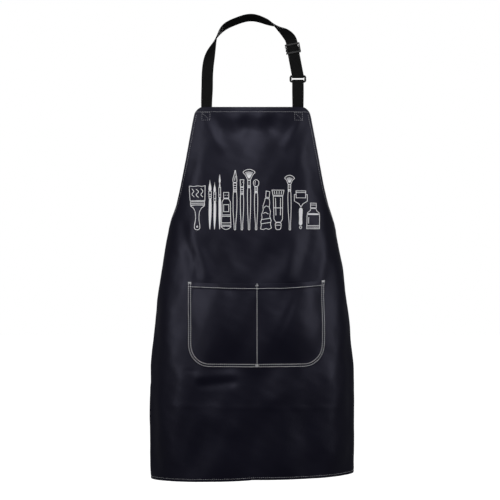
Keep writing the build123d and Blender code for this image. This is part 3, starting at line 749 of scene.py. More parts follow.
def pocket_outline(inset):
    """Points (a, v) round the pocket's sides and bottom, at a distance in from its edge."""
    half = POCKET_HALF - inset
    low = POCKET_TOP + POCKET_HEIGHT - inset
    radius = POCKET_CORNER - inset
    start = POCKET_TOP + 0.002
    side = [(half, v) for v in np.linspace(start, low - radius, 120)]
    turn = np.linspace(0, np.pi / 2, 80)[1:]
    corner = [(half - radius * (1 - math.cos(t)), low - radius * (1 - math.sin(t))) for t in turn]
    base = [(a, low) for a in np.linspace(half - radius, 0, 100)[1:]]
    right = np.array(side + corner + base)
    left = right[-2::-1] * np.array([-1, 1])
    return np.concatenate([right, left])


def on_pocket(a, v, lift):
    """Points over the front face of the pocket, with the layers of its folds under them."""
    thick = bpy.context.scene.apron_cloth.thickness
    radial = pocket_inset(a, v - POCKET_TOP)
    folds = np.where(radial < SEAM_FOLD, 2, 1)
    folds = np.where(v - POCKET_TOP < POCKET_HEM, 3, folds)
    height = pocket_lift(a, v) + thick * folds + mouth_roll(a, v - POCKET_TOP) + lift
    return on_cloth(a + POCKET_SHIFT, mouth_line(a, v), height)


# ------------------------------------------------------------------ node trees for what repeats
def thread_tree(name, sizes, grow):
    """Node tree that turns a path into thread; grow makes its mesh from the path's curve."""
    tree = bpy.data.node_groups.get(name)
    if tree:
        return tree
    tree = bpy.data.node_groups.new(name, "GeometryNodeTree")
    sockets = [("Path", "INPUT", "NodeSocketGeometry")]
    sockets += [(size, "INPUT", "NodeSocketFloat") for size in sizes]
    sockets += [("Material", "INPUT", "NodeSocketMaterial"),
                ("Thread", "OUTPUT", "NodeSocketGeometry")]
    for label, way, kind in sockets:
        tree.interface.new_socket(name=label, in_out=way, socket_type=kind)
    nodes, links = tree.nodes, tree.links
    entry = nodes.new("NodeGroupInput").outputs
    curve = nodes.new("GeometryNodeMeshToCurve")
    links.new(entry["Path"], curve.inputs["Mesh"])
    socket = grow(nodes, links, entry, curve.outputs["Curve"])
    for kind in ("GeometryNodeRealizeInstances", "GeometryNodeSetShadeSmooth",
                 "GeometryNodeSetMaterial"):
        made = nodes.new(kind)
        links.new(socket, made.inputs["Geometry"])
        socket = made.outputs["Geometry"]
    links.new(entry["Material"], made.inputs["Material"])
    links.new(socket, nodes.new("NodeGroupOutput").inputs["Thread"])
    return tree


def grow_stitches(nodes, links, entry, curve):
    """Rounded lengths of thread at an even pitch."""
    resample = node(nodes, "GeometryNodeResampleCurve", mode="LENGTH")
    tangent = nodes.new("GeometryNodeInputTangent")
    align = node(nodes, "FunctionNodeAlignRotationToVector", axis="X")
    ball = node(nodes, "GeometryNodeMeshIcoSphere", Radius=0.5, Subdivisions=2)
    size = nodes.new("ShaderNodeCombineXYZ")
    place = nodes.new("GeometryNodeInstanceOnPoints")
    for source, target in (
            (curve, resample.inputs["Curve"]), (entry["Pitch"], resample.inputs["Length"]),
            (resample.outputs["Curve"], place.inputs["Points"]),
            (ball.outputs["Mesh"], place.inputs["Instance"]),
            (tangent.outputs["Tangent"], align.inputs["Vector"]),
            (align.outputs["Rotation"], place.inputs["Rotation"]),
            (entry["Length"], size.inputs["X"]), (entry["Width"], size.inputs["Y"]),
            (entry["Width"], size.inputs["Z"]), (size.outputs["Vector"], place.inputs["Scale"])):
        links.new(source, target)
    return place.outputs["Instances"]


def grow_cord(nodes, links, entry, curve):
    """A round thread, for the zigzag of a bartack."""
    circle = node(nodes, "GeometryNodeCurvePrimitiveCircle", Resolution=8)
    sweep = nodes.new("GeometryNodeCurveToMesh")
    sweep.inputs["Fill Caps"].default_value = True
    links.new(math_node(nodes, links, "MULTIPLY", entry["Width"], 0.5), circle.inputs["Radius"])
    links.new(curve, sweep.inputs["Curve"])
    links.new(circle.outputs["Curve"], sweep.inputs["Profile Curve"])
    return sweep.outputs["Mesh"]


def path_object(name, paths):
    """Wire mesh of one or more open paths."""
    points, edges = [], []
    for path in paths:
        start = len(points)
        points += [tuple(p) for p in path]
        edges += [(start + i, start + i + 1) for i in range(len(path) - 1)]
    mesh = bpy.data.meshes.new(name)
    mesh.from_pydata(points, edges, [])
    return placed(name, mesh)


def grown(name, paths, tree, values, finish):
    """Plain mesh of a node tree run along paths."""
    source = path_object(name + "_path", paths)
    modifier = source.modifiers.new("grow", "NODES")
    modifier.node_group = tree
    values = dict(values, Material=finish)
    for item in tree.interface.items_tree:
        if item.in_out == "INPUT" and item.name in values:
            modifier[item.identifier] = values[item.name]
    graph = bpy.context.evaluated_depsgraph_get()
    mesh = bpy.data.meshes.new_from_object(source.evaluated_get(graph))
    source.modifiers.clear()
    bpy.data.objects.remove(source)
    mesh.name = name
    return placed(name, mesh)


def stitches(name, paths, finish, width=None, length=None):
    thread = bpy.context.scene.apron_thread
    values = {"Pitch": thread.pitch, "Length": length or thread.length,
              "Width": width or thread.width}
    tree = thread_tree("stitch_row", ("Pitch", "Length", "Width"), grow_stitches)
    return grown(name, paths, tree, values, look(finish))


def pocket_stitches():
    """White rows round the pocket, along its mouth and down its middle, and its bartacks."""
    rows = {}
    for name, inset in (("pocket_outer_thread", POCKET_ROWS[0]),
                        ("pocket_inner_thread", POCKET_ROWS[1])):
        rows[name] = pocket_outline(inset)
    mouth = np.linspace(-POCKET_HALF + 0.004, POCKET_HALF - 0.004, 300)
    rows["pocket_mouth_thread"] = np.stack([mouth,
                                            np.full(300, POCKET_TOP + POCKET_HEM - STITCH_IN)], -1)
    down = np.linspace(POCKET_TOP + 0.001, POCKET_TOP + POCKET_HEIGHT - POCKET_ROWS[0], 200)
    rows["pocket_divider_thread"] = np.stack([np.zeros(200), down], -1)
    for name, row in rows.items():
        path = on_pocket(row[:, 0], row[:, 1], POCKET_THREAD_LIFT)
        piece = stitches(name.replace("_thread", "_stitches"), [path], "pocket_thread")
        mount(piece, name)
    width = bpy.context.scene.apron_thread.width * 0.75
    tacks = []
    half = POCKET_HALF - sum(POCKET_ROWS) / 2
    foot = POCKET_TOP + POCKET_HEIGHT - sum(POCKET_ROWS) / 2
    for a, v, wide in ((-half, POCKET_TOP + 0.0025, 0.007), (half, POCKET_TOP + 0.0025, 0.007),
                       (0, POCKET_TOP + 0.004, 0.005), (0, foot, 0.006)):
        turns = 22
        share = np.linspace(0, 1, turns * 2 + 1)
        across = a + wide * (share - 0.5)
        along = v + 0.0013 * (-1.0) ** np.arange(turns * 2 + 1)
        tacks.append(on_pocket(across, along, 0.0004))
    tree = thread_tree("thread_run", ("Width",), grow_cord)
    piece = grown("pocket_bartack_thread", tacks, tree, {"Width": width}, look("pocket_thread"))
    mount(piece, "pocket_bartacks")


def hem_stitches():
    """Grey rows along the hems, and the box stitches that hold the straps and the ties."""
    width = bpy.context.scene.apron_thread.hem_width
    across = np.linspace(-BIB_HALF * 0.97, BIB_HALF * 0.97, 200)
    top = on_cloth(across, np.full(200, TOP_HEM - STITCH_IN), HEM_THREAD_LIFT)
    mount(stitches("top_hem_stitches", [top], "hem_thread", width), "top_hem_thread")
    in_side = SIDE_HEM - STITCH_IN
    in_foot = BOTTOM_HEM - STITCH_IN
    for name, sign in (("left", -1), ("right", 1)):
        v = np.linspace(BIB_CORNER, ARMHOLE_DEPTH - 0.003, 220)
        armhole = on_cloth(sign * (cloth_edge(v) - in_side), v, HEM_THREAD_LIFT)
        mount(stitches("armhole_stitches_" + name, [armhole], "hem_thread", width),
              "armhole_thread_" + name)
        v = np.linspace(ARMHOLE_DEPTH + 0.003, LENGTH - HEM_CORNER, 300)
        side = on_cloth(sign * (cloth_edge(v) - in_side), v, HEM_THREAD_LIFT)
        mount(stitches("side_hem_stitches_" + name, [side], "hem_thread", width),
              "side_hem_thread_" + name)
    radius = HEM_CORNER - in_foot
    turn = np.linspace(0.05, np.pi / 2, 40)
    corner_u = CUT_HALF - in_side - radius * (1 - np.cos(turn))
    corner_v = LENGTH - in_foot - radius * (1 - np.sin(turn))
    base = np.linspace(corner_u[-1], -corner_u[-1], 400)[1:-1]
    u = np.concatenate([corner_u, base, -corner_u[::-1]])
    v = np.concatenate([corner_v, np.full(base.size, corner_v[-1]), corner_v[::-1]])
    mount(stitches("bottom_hem_stitches", [on_cloth(u, v, HEM_THREAD_LIFT)], "hem_thread", width),
          "bottom_hem_thread")
    boxes = {"strap_stitches": ("strap_thread", STRAP_ROOT, 0.0205, 0.018, 0.016),
             "tie_stitches": ("tie_thread", CUT_HALF - TIE_TUCK / 2 - SEWN_IN, TIE_V, 0.018, 0.019)}
    for name, (node_name, middle, v, wide, high) in boxes.items():
        for side_name, sign in (("left", -1), ("right", 1)):
            corners = np.array([(-1, -1), (1, -1), (1, 1), (-1, 1), (-1, -1), (1, 1)]) / 2
            path = np.concatenate([np.linspace(corners[i], corners[i + 1],
                                               16)[:-1] for i in range(5)])
            box = on_cloth(sign * middle + path[:, 0] * wide, v + path[:, 1] * high,
                           HEM_THREAD_LIFT)
            piece = stitches(f"{name}_{side_name}", [box], "hem_thread", width * 0.9, BOX_STITCH)
            mount(piece, f"{node_name}_{side_name}")


# ------------------------------------------------------------------ print
def brush_handle(low, top, wide, belly):
    """Outline of a turned handle between two heights."""
    return ("loop", True,
            [(-wide, top), (-belly, low + (top - low) * 0.55), (-wide * 0.55, low + 10),
                           (-1.5, low), (0, low - 0.8), (1.5, low), (wide * 0.55, low + 10),
                           (belly, low + (top - low) * 0.55), (wide, top)])


def filled_handle(low, top, wide):
    return ("fill", True,
            [(-wide * 0.8, top), (-wide, low + (top - low) * 0.5), (-1.1, low + 6), (0, low),
                           (1.1, low + 6), (wide, low + (top - low) * 0.5), (wide * 0.8, top)])


def box_line(low, high, half, narrow=None):
    narrow = half if narrow is None else narrow
    return ("loop", False, [(-half, low), (-narrow, high), (narrow, high), (half, low)])


def bar_line(height, half):
    return ("line", False, [(-half, height), (half, height)])


def dot(x, height, radius=0.9):
    turn = [2 * math.pi * i / 8 for i in range(8)]
    return ("fill", False,
            [(x + radius * math.cos(t), height + radius * math.sin(t)) for t in turn])


def fan_head(low, high, half, lines):
    """Spread bristles of a fan brush."""
    strokes = [("loop", True,
                [(-2.6, low), (-half * 0.62, low + (high - low) * 0.45), (-half, high - 6),
                               (-half * 0.55, high - 1.5), (0, high), (half * 0.55, high - 1.5),
                               (half, high - 6), (half * 0.62, low + (high - low) * 0.45),
                 (2.6, low)])]
    for i in range(lines):
        side = (i + 1) / (lines + 1) * 2 - 1
        strokes.append(("line", False,
                        [(side * 1.8, low + 3), (side * half * 0.8, high - 4 - 2.5 * abs(side))]))
    return strokes


FIGURES = {
    "print_flat_brush": (-118, [
        ("loop", False,
         [(-16, 62), (-17, 94), (-8, 92.6), (2, 94), (10, 92.6), (17, 94), (16, 62)]),
        ("line", True, [(-11, 88), (-7, 82), (-11, 76), (-6, 70)]),
        ("line", True, [(-2, 87), (3, 81), (-2, 75), (3, 69)]),
        ("line", True, [(8, 88), (12, 82), (8, 75), (12, 70)]),
        box_line(53, 60, 15.4), bar_line(56.5, 15),
        ("loop", True,
         [(-14, 52), (-9, 46), (-5, 38), (-3.8, 24), (-5.4, 10), (-5.6, 3), (-3, 0), (0, -0.6),
                        (3, 0), (5.6, 3), (5.4, 10), (3.8, 24), (5, 38), (9, 46), (14, 52)]),
        ("loop", True, [(-1.4, 6), (0, 7.6), (1.4, 6), (0, 4.4)])]),
    "print_round_brush": (-91, [
        filled_handle(0, 64, 2.9), box_line(66, 82, 2.3, 2.7), bar_line(71, 2.2), bar_line(75, 2.3),
        ("fill", True,
         [(-2.4, 83.5), (-3, 90), (-1, 99), (0, 106), (1, 99), (3, 90), (2.4, 83.5)])]),
    "print_thin_brush": (-81, [
        filled_handle(0, 58, 2.6), box_line(60, 80, 2.0, 2.4), bar_line(66, 2), bar_line(76, 2),
        ("fill", True,
         [(-2, 81.5), (-2.4, 87), (-0.6, 96), (0, 102), (0.6, 96), (2.4, 87), (2, 81.5)])]),
    "print_liner_brush": (-70, [
        filled_handle(0, 66, 2.7), box_line(68, 90, 2.1, 1.9), bar_line(74, 2),
        ("fill", True,
         [(-1.6, 91.5), (-1, 99), (-2, 104), (0, 118), (2, 104), (1, 99), (1.6, 91.5)])]),
    "print_paint_tube": (-56, [
        box_line(67, 79, 5.6), dot(-2.4, 73), dot(2.4, 73),
        ("loop", False,
         [(-5, 65.5), (-9, 59), (-9.6, 30), (-10.8, 9), (10.8, 9), (9.6, 30), (9, 59), (5, 65.5)]),
        ("loop", False, [(-5.6, 38), (-5.6, 53), (5.6, 53), (5.6, 38)]),
        bar_line(31, 9.2), bar_line(28, 9.3), bar_line(14, 9.8),
        ("loop", True, [(-10.8, 6), (-5, 1.2), (0, 0), (5, 1.2), (10.8, 6), (4, 6.8), (-4, 6.8)])]),
    "print_pointed_brush": (-37, [
        ("loop", True,
         [(-3.4, 101), (-4, 108), (-1.6, 117), (0.6, 126), (2.6, 116), (4, 108), (3.4, 101)]),
        ("line", True, [(-0.6, 104), (0, 109), (0.8, 114)]),
        box_line(80, 99, 3.2, 3.6), bar_line(85, 3.2), bar_line(89, 3.3), bar_line(94, 3.4),
        brush_handle(0, 78.5, 3.3, 4.0)]),
    "print_narrow_brush": (-22, [
        box_line(91, 106, 3.2, 3.9), dot(-1.3, 96.5, 0.7), dot(1.3, 100.5, 0.7),
        box_line(75, 89.5, 3.0, 3.2), bar_line(80, 2.9), bar_line(85, 3.0),
                                 brush_handle(0, 73.5, 2.9, 3.3)]),
    "print_fan_brush": (-7, fan_head(106, 128, 12.6, 7) + [
        box_line(89, 104.5, 2.8, 2.9), bar_line(94, 2.7), dot(-1, 99, 0.6), dot(1, 99, 0.6),
        brush_handle(0, 87.5, 2.8, 3.2)]),
    "print_mop_brush": (8, [
        ("loop", True,
         [(-2.8, 92), (-5.6, 97), (-5, 103), (0, 106), (5, 103), (5.6, 97), (2.8, 92)]),
        ("line", True, [(-2, 95), (-2.4, 99), (-1.2, 103)]),
        box_line(78, 90.5, 2.6, 2.8), bar_line(82, 2.6), bar_line(86, 2.7),
                            brush_handle(0, 76.5, 2.8, 3.3)]),
    "print_squeezed_tube": (29, [
        ("loop", False,
         [(-11.4, 1), (-10, 9), (-11, 16), (-8.4, 24), (-9.2, 32), (-5.8, 41), (-6.4, 50),
                         (-3, 60), (-1.4, 67), (7.4, 65), (8.2, 56), (7, 47), (9.8, 38), (8.2, 28),
          (11, 19),
                         (9.4, 11), (11.6, 3), (6, 0), (0, 2), (-6, -0.4)]),
        ("line", False, [(-9.6, 12), (9.4, 15)]), ("line", False, [(-8.8, 21), (9.6, 24)]),
        ("line", True, [(-4, 46), (0, 50), (6, 48)]), ("line", True, [(-6, 34), (-1, 36), (5, 33)]),
        ("loop", False, [(-0.6, 69), (0.4, 82), (8, 80.6), (6.8, 67.6)])]),
    "print_cap_down_tube": (55, [
        ("loop", False, [(-11, 73), (-13, 84), (13, 84), (11, 73)]),
        ("line", False, [(-7, 75), (-8, 82)]), ("line", False, [(-2.4, 75), (-2.8, 82)]),
        ("line", False, [(2.4, 75), (2.8, 82)]), ("line", False, [(7, 75), (8, 82)]),
        ("loop", False, [(-10.2, 71), (-9, 22), (-5.4, 15.5), (5.4, 15.5), (9, 22), (10.2, 71)]),
        ("line", False, [(-5.4, 67), (-4.8, 30)]), ("line", False, [(5.4, 67), (4.8, 30)]),
                                 bar_line(46, 9.0),
        ("loop", True,
         [(-5.2, 13.5), (-5.8, 5), (-4, 0.4), (0, -0.4), (4, 0.4), (5.8, 5), (5.2, 13.5)]),
        bar_line(9, 5)]),
    "print_fan_brush_small": (80, fan_head(97, 116, 10.4, 5) + [
        box_line(82, 95.5, 2.7), bar_line(86, 2.6), bar_line(91, 2.6),
                                                                brush_handle(0, 80.5, 2.7, 3.2)]),
    "print_brayer": (104, [
        ("loop", False, [(-10, 68), (-10, 83), (10, 83), (10, 68)]), bar_line(79.5, 9.6),
        ("line", False, [(-10.6, 75), (-13.6, 75), (-13.6, 61), (-4, 55), (0, 48)]),
        ("line", False, [(10.6, 75), (13.6, 75), (13.6, 61), (4, 55), (0, 48)]),
        ("fill", True,
         [(-2.4, 46), (-4, 40), (-3.4, 24), (-3.6, 12), (0, 9), (3.6, 12), (3.4, 24), (4, 40),
                        (2.4, 46)]),
        ("loop", True, [(-2.6, 4.6), (0, 7.6), (2.6, 4.6), (0, 1.4)])]),
    "print_ink_bottle": (131, [
        box_line(47, 57, 6.4), bar_line(53, 6),
        ("loop", False,
         [(-5.6, 45.5), (-7, 41), (-12.6, 36), (-13.4, 30), (-13.4, 2), (13.4, 2), (13.4, 30),
                         (12.6, 36), (7, 41), (5.6, 45.5)]),
        ("fill", False, [(-11.6, 35), (-11.6, 31.6), (11.6, 31.6), (11.6, 35)]),
        ("line", True, [(-9.6, 27), (-10, 20), (-9.6, 13)]), bar_line(8.6, 12.6),
                               bar_line(5.4, 12.8)]),
}
PRINT_FOOT = 0.263


def rounded(points, closed):
    """Points run through by a smooth curve, every millimetre or so."""
    points = np.array(points, float)
    count = len(points)
    result = []
    spans = count if closed else count - 1
    for i in range(spans):
        if closed:
            a, b, c, d = (points[(i + k) % count] for k in (-1, 0, 1, 2))
        else:
            a, b, c, d = points[max(i - 1, 0)], points[i], points[i + 1], points[min(i + 2,
                                                                                     count - 1)]
        steps = max(2, int(np.linalg.norm(c - b) / 1.2))
        for t in np.arange(steps) / steps:
            result.append(0.5 * (2 * b + (c - a) * t + (2 * a - 5 * b + 4 * c - d) * t ** 2
                                 + (3 * b - a - 3 * c + d) * t ** 3))
    if not closed:
        result.append(points[-1])
    return np.array(result)


def divided(points, closed, step=1.8):
    """Straight runs between the points, divided evenly."""
    points = np.array(points, float)
    ends = np.roll(points, -1, 0) if closed else points[1:]
    result = []
    for a, b in zip(points, ends):
        steps = max(1, int(np.linalg.norm(b - a) / step))
        result += [a + (b - a) * i / steps for i in range(steps)]
    if not closed:
        result.append(points[-1])
    return np.array(result)


def u_of_x(x, v):
    """Distance round the cloth at which its plain shape has this x."""
    u = np.array(x, float)
    for _ in range(12):
        u = u + (x - half_width(v) * np.sin(turn_at(u, v)))
    return u


def film_points(flat, lift):
    v = PRINT_FOOT - flat[:, 1] * MM
    return on_cloth(u_of_x(flat[:, 0] * MM, v), v, lift)


def stroke_mesh(points, closed, width, low, high):
    """Vertices and faces of one printed line, with mitred corners and closed sides."""
    ahead = np.roll(points, -1, 0) - points
    behind = points - np.roll(points, 1, 0)
    if not closed:
        ahead[-1] = behind[-1]
        behind[0] = ahead[0]
    ahead = ahead / np.linalg.norm(ahead, axis=1, keepdims=True)
    behind = behind / np.linalg.norm(behind, axis=1, keepdims=True)
    mitre = ahead + behind
    mitre = mitre / np.maximum(np.linalg.norm(mitre, axis=1, keepdims=True), 1e-6)
    side = np.stack([-mitre[:, 1], mitre[:, 0]], 1)
    stretch = 1 / np.maximum(np.einsum("ij,ij->i", mitre, ahead), 0.55)
    side = side * stretch[:, None] * width / 2
    rings = [film_points(points + side, low), film_points(points - side, low),
             film_points(points - side, high), film_points(points + side, high)]
    vertices = np.stack(rings, 1).reshape(-1, 3)
    faces = []
    count = len(points)
    for i in range(count if closed else count - 1):
        a, b = i * 4, (i + 1) % count * 4
        faces += [(a + k, a + (k + 1) % 4, b + (k + 1) % 4, b + k) for k in range(4)]
    if not closed:
        faces += [(3, 2, 1, 0), tuple((count - 1) * 4 + k for k in range(4))]
    return vertices, faces


def fill_mesh(points, low, high):
    """Vertices and faces of one filled printed shape, cut fine enough to follow the cloth."""
    mesh = bmesh.new()
    ring = [mesh.verts.new((x, y, 0)) for x, y in points]
    mesh.faces.new(ring)
    for axis, normal in ((0, (1, 0, 0)), (1, (0, 1, 0))):
        values = [p[axis] for p in points]
        for place in np.arange(min(values) + 2.0, max(values), 4.0):
            spot = [0, 0, 0]
            spot[axis] = place
            geometry = mesh.verts[:] + mesh.edges[:] + mesh.faces[:]
            bmesh.ops.bisect_plane(mesh, geom=geometry, plane_co=spot, plane_no=normal)
    bmesh.ops.triangulate(mesh, faces=[f for f in mesh.faces if len(f.verts) > 4])
    mesh.verts.index_update()
    flat = np.array([v.co[:2] for v in mesh.verts])
    count = len(flat)
    faces = []
    for face in mesh.faces:
        index = [v.index for v in face.verts]
        faces.append(tuple(i + count for i in index))
        faces.append(tuple(reversed(index)))
    for edge in mesh.edges:
        if edge.is_boundary:
            loop = edge.link_loops[0]
            a, b = loop.vert.index, loop.link_loop_next.vert.index
            faces.append((a, b, b + count, a + count))
    mesh.free()
    return np.concatenate([film_points(flat, low), film_points(flat, high)]), faces


def print_figures():
    """The pressed print: brushes, tubes, a brayer and an ink bottle in a row across the chest."""
    settings = bpy.context.scene.apron_print
    for name, (middle, strokes) in FIGURES.items():
        vertices, faces = [], []
        for i, (kind, smooth, points) in enumerate(strokes):
            closed = kind != "line"
            path = rounded(points, closed) if smooth else divided(points, closed)
            path = path + np.array([middle, 0])
            low = 0.00007 + 0.000002 * i
            high = low + settings.film
            if kind == "fill":
                points_3d, found = fill_mesh(path, low, high)
            else:
                points_3d, found = stroke_mesh(path, closed, settings.line / MM, low, high)
            start = sum(len(part) for part in vertices)
            vertices.append(points_3d)
            faces += [tuple(start + k for k in face) for face in found]
        film = new_object(name + "_film", np.concatenate(vertices), faces, look("print_film"),
                          smooth=False)
        weld(film, 1e-7)
        mount(film, name)


# ------------------------------------------------------------------ webbing
def smooth_line(knots, first, last):
    """Smooth curve through knots that leaves and arrives in the given directions."""
    points = np.array(knots, float)
    gaps = np.linalg.norm(np.diff(points, axis=0), axis=1)
    count = len(points)
    matrix = np.zeros((count, count))
    right = np.zeros((count, 3))
    matrix[0, 0] = matrix[-1, -1] = 1
    right[0] = np.array(first) / np.linalg.norm(first)
    right[-1] = np.array(last) / np.linalg.norm(last)
    for i in range(1, count - 1):
        before, after = gaps[i - 1], gaps[i]
        matrix[i, i - 1:i + 2] = 1 / before, 2 / before + 2 / after, 1 / after
        slope_in = (points[i] - points[i - 1]) / before ** 2
        slope_out = (points[i + 1] - points[i]) / after ** 2
        right[i] = 3 * (slope_in + slope_out)
    slopes = np.linalg.solve(matrix, right)
    ends = np.concatenate([[0], np.cumsum(gaps)])

    def at(distance):
        distance = np.atleast_1d(distance)
        i = np.clip(np.searchsorted(ends, distance, side="right") - 1, 0, count - 2)
        h = gaps[i][:, None]
        t = (distance - ends[i])[:, None] / h
        return ((2 * t ** 3 - 3 * t ** 2 + 1) * points[i]
                + (t ** 3 - 2 * t ** 2 + t) * h * slopes[i]
                + (3 * t ** 2 - 2 * t ** 3) * points[i + 1] + (t ** 3 - t ** 2) * h * slopes[i + 1])
    return at, ends[-1]


def unit(vectors):
    vectors = np.asarray(vectors, float)
    return vectors / np.linalg.norm(vectors, axis=-1, keepdims=True)


def ease(share):
    share = np.clip(share, 0, 1)
    return share * share * (3 - 2 * share)


def ribbon(name, centres, across, step=0.0016, bow=0.0):
    """Ribbed webbing along centres; across gives its flat direction at each."""
    settings = bpy.context.scene.apron_webbing
    centres, across = np.array(centres, float), np.array(across, float)
    gaps = np.linalg.norm(np.diff(centres, axis=0), axis=1)
    length = np.concatenate([[0], np.cumsum(gaps)])
    count = max(8, int(length[-1] / step))
    want = np.linspace(0, length[-1], count)
    centres = np.stack([np.interp(want, length, centres[:, k]) for k in range(3)], 1)
    across = unit(np.stack([np.interp(want, length, across[:, k]) for k in range(3)], 1))
    along = unit(np.gradient(centres, axis=0))
    across = unit(across - along * np.einsum("ij,ij->i", across, along)[:, None])
    out = unit(np.cross(along, across))
    per_rib = 3
    flat = np.linspace(-0.5, 0.5, settings.ribs * per_rib + 1)
    relief = settings.relief * np.abs(np.sin(np.pi * (flat + 0.5) * settings.ribs)) ** 0.7
    selvedge = np.clip((0.5 - np.abs(flat)) / 0.035, 0, 1)
    half = (WEB_THICK / 2 - settings.relief) * np.sqrt(1 - (1 - selvedge) ** 2) + relief * selvedge
    weft = 0.00004 * np.sin(want / 0.00045)[:, None] * selvedge
    wander = 0.00018 * np.sin(want / 0.021)[:, None]
    width = (WEB * flat)[None, :] + wander * np.sign(flat)
    lift = bow * (1 - (2 * flat) ** 2)
    base = centres[:, None] + across[:, None] * width[..., None]
    outer = base + out[:, None] * (half + weft + lift)[..., None]
    inner = base - out[:, None] * (half + weft - lift)[..., None]
    uvs = np.stack(np.broadcast_arrays(width, want[:, None]), -1)
    finish = look("ribbed_webbing")
    columns = len(flat)
    points = np.concatenate([outer.reshape(-1, 3), inner.reshape(-1, 3)])
    faces = [tuple(f) for f in grid_faces(count, columns, 0)]
    faces += [tuple(f) for f in grid_faces(count, columns, count * columns, True)]
    for row in (0, count - 1):
        for i in range(columns - 1):
            a = row * columns + i
            b = a + count * columns
            face = (a, b, b + 1, a + 1) if row == 0 else (a, a + 1, b + 1, b)
            faces.append(face)
    obj = new_object(name, points, faces, finish, uvs=np.concatenate([uvs.reshape(-1, 2)] * 2))
    return weld(obj)


def spot(x, depth, v):
    """Point at x, depth behind the front line and v below the bib's top edge, from millimetres."""
    return np.array([x * MM, FRONT_Y + depth * MM, BIB_Z - v * MM])


RING_CENTRE = (Vector(RING_LOW) + Vector(RING_HIGH)) / 2
RING_BAR = RING_HIGH.y - RING_LOW.y
RING_TURN = RING_BAR / 2 + 2 * LAYER_GAP + WEB_THICK / 2      # radius of webbing round a bar
LOWER_BAR = RING_LOW.z + RING_BAR / 2
UPPER_BAR = RING_HIGH.z - RING_BAR / 2
SPLIT = LOWER_BAR - BIB_Z                                     # height of the hinge over the bib
SLIDER_RISE = 0.126
SLIDER_X = 0.087
SLIDER_HEIGHT = 0.021
SLIDER_RAIL = 0.0032
STRAP_END = 0.022
FOOT = np.array([RING_CENTRE.x, RING_CENTRE.y - RING_TURN, UPPER_BAR])
SLIDER_CENTRE = np.array([SLIDER_X, FOOT[1], BIB_Z + SLIDER_RISE])
STRAND = (SLIDER_CENTRE - FOOT) / np.linalg.norm(SLIDER_CENTRE - FOOT)
STRAND_ACROSS = np.array([STRAND[2], 0, -STRAND[0]])
BAR_DEPTH = WEB_THICK / 2 + LAYER_GAP + WEB_THICK + LAYER_GAP + SLIDER_RAIL / 2
BAR_TURN = SLIDER_RAIL / 2 + LAYER_GAP + WEB_THICK / 2


def behind_bib(side, v, layers=1):
    """Middle of a strap sewn behind the bib, counting layers of webbing from the cloth."""
    cloth = bpy.context.scene.apron_cloth
    hem = cloth.thickness * cloth.hem_layers
    lift = -hem - LAYER_GAP - SEWN_GAP - WEB_THICK / 2 - (layers - 1) * (WEB_THICK + LAYER_GAP)
    v = np.atleast_1d(v)
    centre = on_cloth(np.full(v.shape, side * STRAP_ROOT), np.maximum(v, 0), lift)
    centre[:, 2] = BIB_Z - v
    slope = on_cloth(np.full(v.shape, side * STRAP_ROOT + 0.01), np.maximum(v, 0)) - on_cloth(
        np.full(v.shape, side * STRAP_ROOT - 0.01), np.maximum(v, 0))
    slope[:, 2] = 0
    return centre, unit(slope)


def strap_route():
    """Centres and flat directions of the neck strap, from behind the bib to the ring."""
    top = np.array([-0.097, RING_CENTRE.y, BIB_Z + SPLIT])
    rise = np.linspace(-STRAP_TUCK, SPLIT, 60)
    centre, across = behind_bib(-1, -rise)
    share = ease(rise / SPLIT)[:, None]
    centre[:, :2] += (top[:2] - centre[:, :2]) * share
    across = across * (1 - share) + np.array([1.0, 0, 0]) * share
    knots = [top, spot(-94.5, 29, -95), spot(-88, 40, -127), spot(-77, 60, -158),
             spot(-61, 84, -181),
             spot(-36, 106, -197), spot(0, 118, -207), spot(30, 105, -197), spot(45, 86, -189),
             spot(57, 66, -179), spot(67.5, 48, -168), spot(76, 34, -157), spot(82, 26, -147),
             SLIDER_CENTRE + STRAND * (SLIDER_HEIGHT / 2 + 0.001)]
    at, total = smooth_line(knots, (0, 0.05, 1), -STRAND)
    want = np.linspace(0, total, 260)
    arch = at(want)
    part = want / total
    neck = np.array([0.0, -0.85, 0.53])
    left = ease(part / 0.42)[:, None]
    right = ease((1 - part) / 0.42)[:, None]
    left_across = np.array([1.0, 0, 0]) * (1 - left) + neck * left
    right_across = STRAND_ACROSS * (right - 1) + neck * right
    arch_across = np.where((part < 0.5)[:, None], left_across, right_across)
    down = np.linspace(0, 1, 40)[1:, None]
    run = arch[-1] + (FOOT - arch[-1]) * down
    turn = np.linspace(0, np.pi, 40)[1:]
    bar = FOOT + np.array([0, RING_TURN, 0])
    wrap = bar + np.stack([0 * turn, -RING_TURN * np.cos(turn), -RING_TURN * np.sin(turn)], 1)
    bend = np.sin(turn)[:, None]
    wrap_across = STRAND_ACROSS * (bend - 1) + np.array([-1.0, 0, 0]) * bend
    centres = np.concatenate([centre, arch[1:], run, wrap])
    directions = np.concatenate([across, arch_across[1:], np.repeat([-STRAND_ACROSS], len(run), 0),
                                 wrap_across])
    return centres, directions


def slider_spot(depth, rise):
    return SLIDER_CENTRE + np.array([0, depth, 0]) + STRAND * rise


